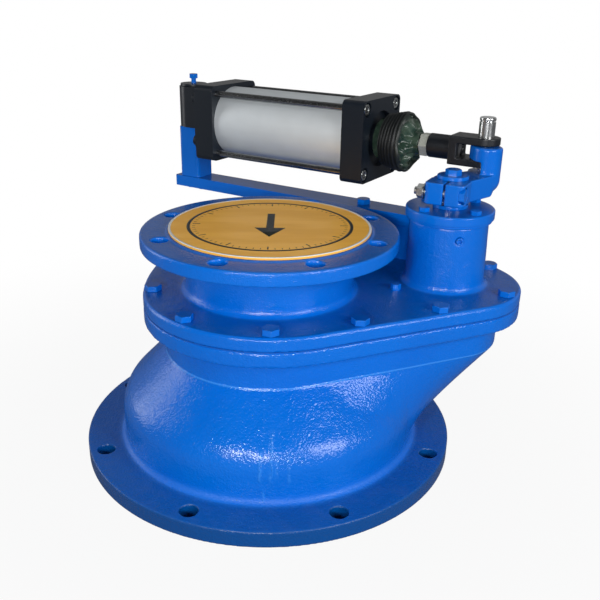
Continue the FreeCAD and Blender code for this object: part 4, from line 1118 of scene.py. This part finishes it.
def pale_floor():
    """Pale floor: it keeps the object's shadow near it and shows white to the camera further out."""
    made = bpy.data.materials.new("studio_floor")
    made.use_nodes = True
    made.node_tree.nodes.clear()
    work = Tree(made.node_tree)
    far = work.add("ShaderNodeVectorMath", {0: work.place()}, operation="LENGTH").outputs["Value"]
    lit = work.add("ShaderNodeBsdfDiffuse", {"Color": (0.24, 0.25, 0.27, 1.0)})
    glow = work.add("ShaderNodeEmission", {"Color": (1.0, 1.0, 1.0, 1.0), "Strength": 1.0})
    rays = work.add("ShaderNodeLightPath")
    share = work.math("MULTIPLY", rays.outputs["Is Camera Ray"], work.spread(far, 0.25, 1.0, 0.93, 1.0))
    mixed = work.add("ShaderNodeMixShader", {0: share, 1: lit.outputs[0], 2: glow.outputs[0]})
    out = work.add("ShaderNodeOutputMaterial")
    work.feed(out.inputs["Surface"], mixed.outputs[0])
    return made


def white_world(ambient):
    """World that is white to the camera and behind the object in gloss, with a softer light on it."""
    world = bpy.data.worlds.new("studio")
    world.use_nodes = True
    world.node_tree.nodes.clear()
    work = Tree(world.node_tree)
    way = work.add("ShaderNodeSeparateXYZ", {0: work.add("ShaderNodeTexCoord").outputs["Generated"]}).outputs
    behind = work.spread(way["Y"], -0.35, 0.5, 0.02, 0.34)
    low = work.spread(way["Z"], 0.1, 0.75, 1.0, 0.30)
    rays = work.add("ShaderNodeLightPath")
    clear = work.math("MAXIMUM", rays.outputs["Is Camera Ray"], rays.outputs["Is Transmission Ray"])
    gloss = work.math("MULTIPLY", behind, low)
    light = work.math("MULTIPLY", low, ambient)
    shown = work.math("ADD", work.math("MULTIPLY", gloss, rays.outputs["Is Glossy Ray"]),
                      work.math("MULTIPLY", light, work.math("SUBTRACT", 1.0, rays.outputs["Is Glossy Ray"])))
    strength = work.math("MAXIMUM", shown, clear)
    white = work.add("ShaderNodeBackground", {"Color": (1.0, 1.0, 1.0, 1.0), "Strength": strength})
    out = work.add("ShaderNodeOutputWorld")
    work.feed(out.inputs["Surface"], white.outputs[0])
    bpy.context.scene.world = world


def photo_camera(place, yaw, pitch, roll, lens):
    """Camera by its heading: yaw towards +X, pitch down and roll, in degrees."""
    yaw, pitch, roll = math.radians(yaw), math.radians(pitch), math.radians(roll)
    right = Vector((math.cos(yaw), -math.sin(yaw), 0.0))
    ahead = Vector((math.sin(yaw) * math.cos(pitch), math.cos(yaw) * math.cos(pitch), -math.sin(pitch)))
    up = right.cross(ahead)
    turned_right = right * math.cos(roll) + up * math.sin(roll)
    turned_up = up * math.cos(roll) - right * math.sin(roll)
    data = bpy.data.cameras.new("photo_camera")
    data.lens = lens
    data.sensor_width = 36.0
    obj = bpy.data.objects.new("photo_camera", data)
    bpy.context.scene.collection.objects.link(obj)
    axes = Matrix((turned_right, turned_up, -ahead)).transposed()
    obj.matrix_world = Matrix.Translation(place) @ axes.to_4x4()
    bpy.context.scene.camera = obj


def set_studio():
    scene = bpy.context.scene
    scene.view_settings.view_transform = "Standard"
    half, level = 4.0, -0.5 * MM
    corners = [(-half, -half, level), (half, -half, level), (half, half, level), (-half, half, level)]
    floor = built("floor", corners, [(0, 1, 2, 3)])
    floor.data.materials.append(pale_floor())
    white_world(0.42)
    centre = (cad_box[0] + cad_box[1]) / 2
    lamp("key_front", (1.3, -1.3, 0.9), centre, (0.8, 0.8), 19.0)
    lamp("low_front_left", (-0.55, -1.45, 0.80), (-0.05, -0.15, 0.10), (0.18, 0.16), 7.2)
    lamp("low_front_right", (-0.05, -1.5, 0.58), (0.05, -0.15, 0.10), (0.18, 0.16), 6.8)
    lamp("left_window", (-1.8, 0.5, 0.7), centre, (0.7, 1.4), 7.5)
    lamp("overhead", (0.2, 0.5, 2.1), centre, (1.2, 1.2), 2.0)
    photo_camera(Vector((0.0286, -0.9560, 0.6004)), 0.74, 22.39, 1.13, 45.3)


# Operators and panel

class VALVE_OT_body(bpy.types.Operator):
    """Makes the painted body casting"""
    bl_idname = "valve.body"
    bl_label = "Body casting"

    def execute(self, context):
        dress_body()
        return {"FINISHED"}


class VALVE_OT_cover(bpy.types.Operator):
    """Makes the painted cover casting with its neck and tower"""
    bl_idname = "valve.cover"
    bl_label = "Cover casting"

    def execute(self, context):
        dress_cover()
        return {"FINISHED"}


class VALVE_OT_fasteners(bpy.types.Operator):
    """Finishes the gasket, the cover's bolts and plugs and the tower cap"""
    bl_idname = "valve.fasteners"
    bl_label = "Cover fasteners"

    def execute(self, context):
        dress_fasteners()
        return {"FINISHED"}


class VALVE_OT_board(bpy.types.Operator):
    """Makes the transport board and its print"""
    bl_idname = "valve.board"
    bl_label = "Transport board"

    def execute(self, context):
        dress_board()
        return {"FINISHED"}


class VALVE_OT_lever(bpy.types.Operator):
    """Makes the lever and finishes its bolts"""
    bl_idname = "valve.lever"
    bl_label = "Lever"

    def execute(self, context):
        dress_lever()
        return {"FINISHED"}


class VALVE_OT_fork(bpy.types.Operator):
    """Makes the fork and finishes its pin, clip and nut"""
    bl_idname = "valve.fork"
    bl_label = "Fork and pin"

    def execute(self, context):
        dress_fork()
        return {"FINISHED"}


class VALVE_OT_gaiter(bpy.types.Operator):
    """Makes the pleated gaiter round the rod"""
    bl_idname = "valve.gaiter"
    bl_label = "Gaiter"

    def execute(self, context):
        dress_gaiter()
        return {"FINISHED"}


class VALVE_OT_cylinder(bpy.types.Operator):
    """Finishes the air cylinder's caps, tube and tie rods"""
    bl_idname = "valve.cylinder"
    bl_label = "Air cylinder"

    def execute(self, context):
        dress_cylinder()
        return {"FINISHED"}


class VALVE_OT_bracket(bpy.types.Operator):
    """Finishes the bar and post that hold the cylinder's rear pivot"""
    bl_idname = "valve.bracket"
    bl_label = "Rear bracket"

    def execute(self, context):
        dress_bracket()
        return {"FINISHED"}


class VALVE_OT_inside(bpy.types.Operator):
    """Finishes the seat, disc, arm, shaft and bearings"""
    bl_idname = "valve.inside"
    bl_label = "Inner parts"

    def execute(self, context):
        dress_inside()
        return {"FINISHED"}


class VALVE_OT_studio(bpy.types.Operator):
    """Makes the floor, the lamps, the white world and the camera"""
    bl_idname = "valve.studio"
    bl_label = "Studio"

    def execute(self, context):
        set_studio()
        return {"FINISHED"}


STEPS = (VALVE_OT_body, VALVE_OT_cover, VALVE_OT_fasteners, VALVE_OT_board, VALVE_OT_lever, VALVE_OT_fork,
         VALVE_OT_gaiter, VALVE_OT_cylinder, VALVE_OT_bracket, VALVE_OT_inside, VALVE_OT_studio)


class VALVE_PT_panel(bpy.types.Panel):
    """Lists the sizes, the colours and the steps"""
    bl_idname = "VALVE_PT_panel"
    bl_label = "Swing valve"
    bl_space_type = "VIEW_3D"
    bl_region_type = "UI"
    bl_category = "Valve"

    def draw(self, context):
        for group in (context.scene.valve_sizes, context.scene.valve_colours):
            for name in group.__annotations__:
                self.layout.prop(group, name)
        for step in STEPS:
            self.layout.operator(step.bl_idname)


CLASSES = (ValveSizes, ValveColours) + STEPS + (VALVE_PT_panel,)


def register():
    for cls in CLASSES:
        bpy.utils.register_class(cls)
    bpy.types.Scene.valve_sizes = PointerProperty(type=ValveSizes)
    bpy.types.Scene.valve_colours = PointerProperty(type=ValveColours)


def unregister():
    del bpy.types.Scene.valve_colours
    del bpy.types.Scene.valve_sizes
    for cls in reversed(CLASSES):
        bpy.utils.unregister_class(cls)


def main():
    register()
    bpy.ops.valve.body()
    bpy.ops.valve.cover()
    bpy.ops.valve.fasteners()
    bpy.ops.valve.board()
    bpy.ops.valve.lever()
    bpy.ops.valve.fork()
    bpy.ops.valve.gaiter()
    bpy.ops.valve.cylinder()
    bpy.ops.valve.bracket()
    bpy.ops.valve.inside()
    bpy.ops.valve.studio()
    bpy.context.view_layer.update()


if __name__ == "__main__":
    main()
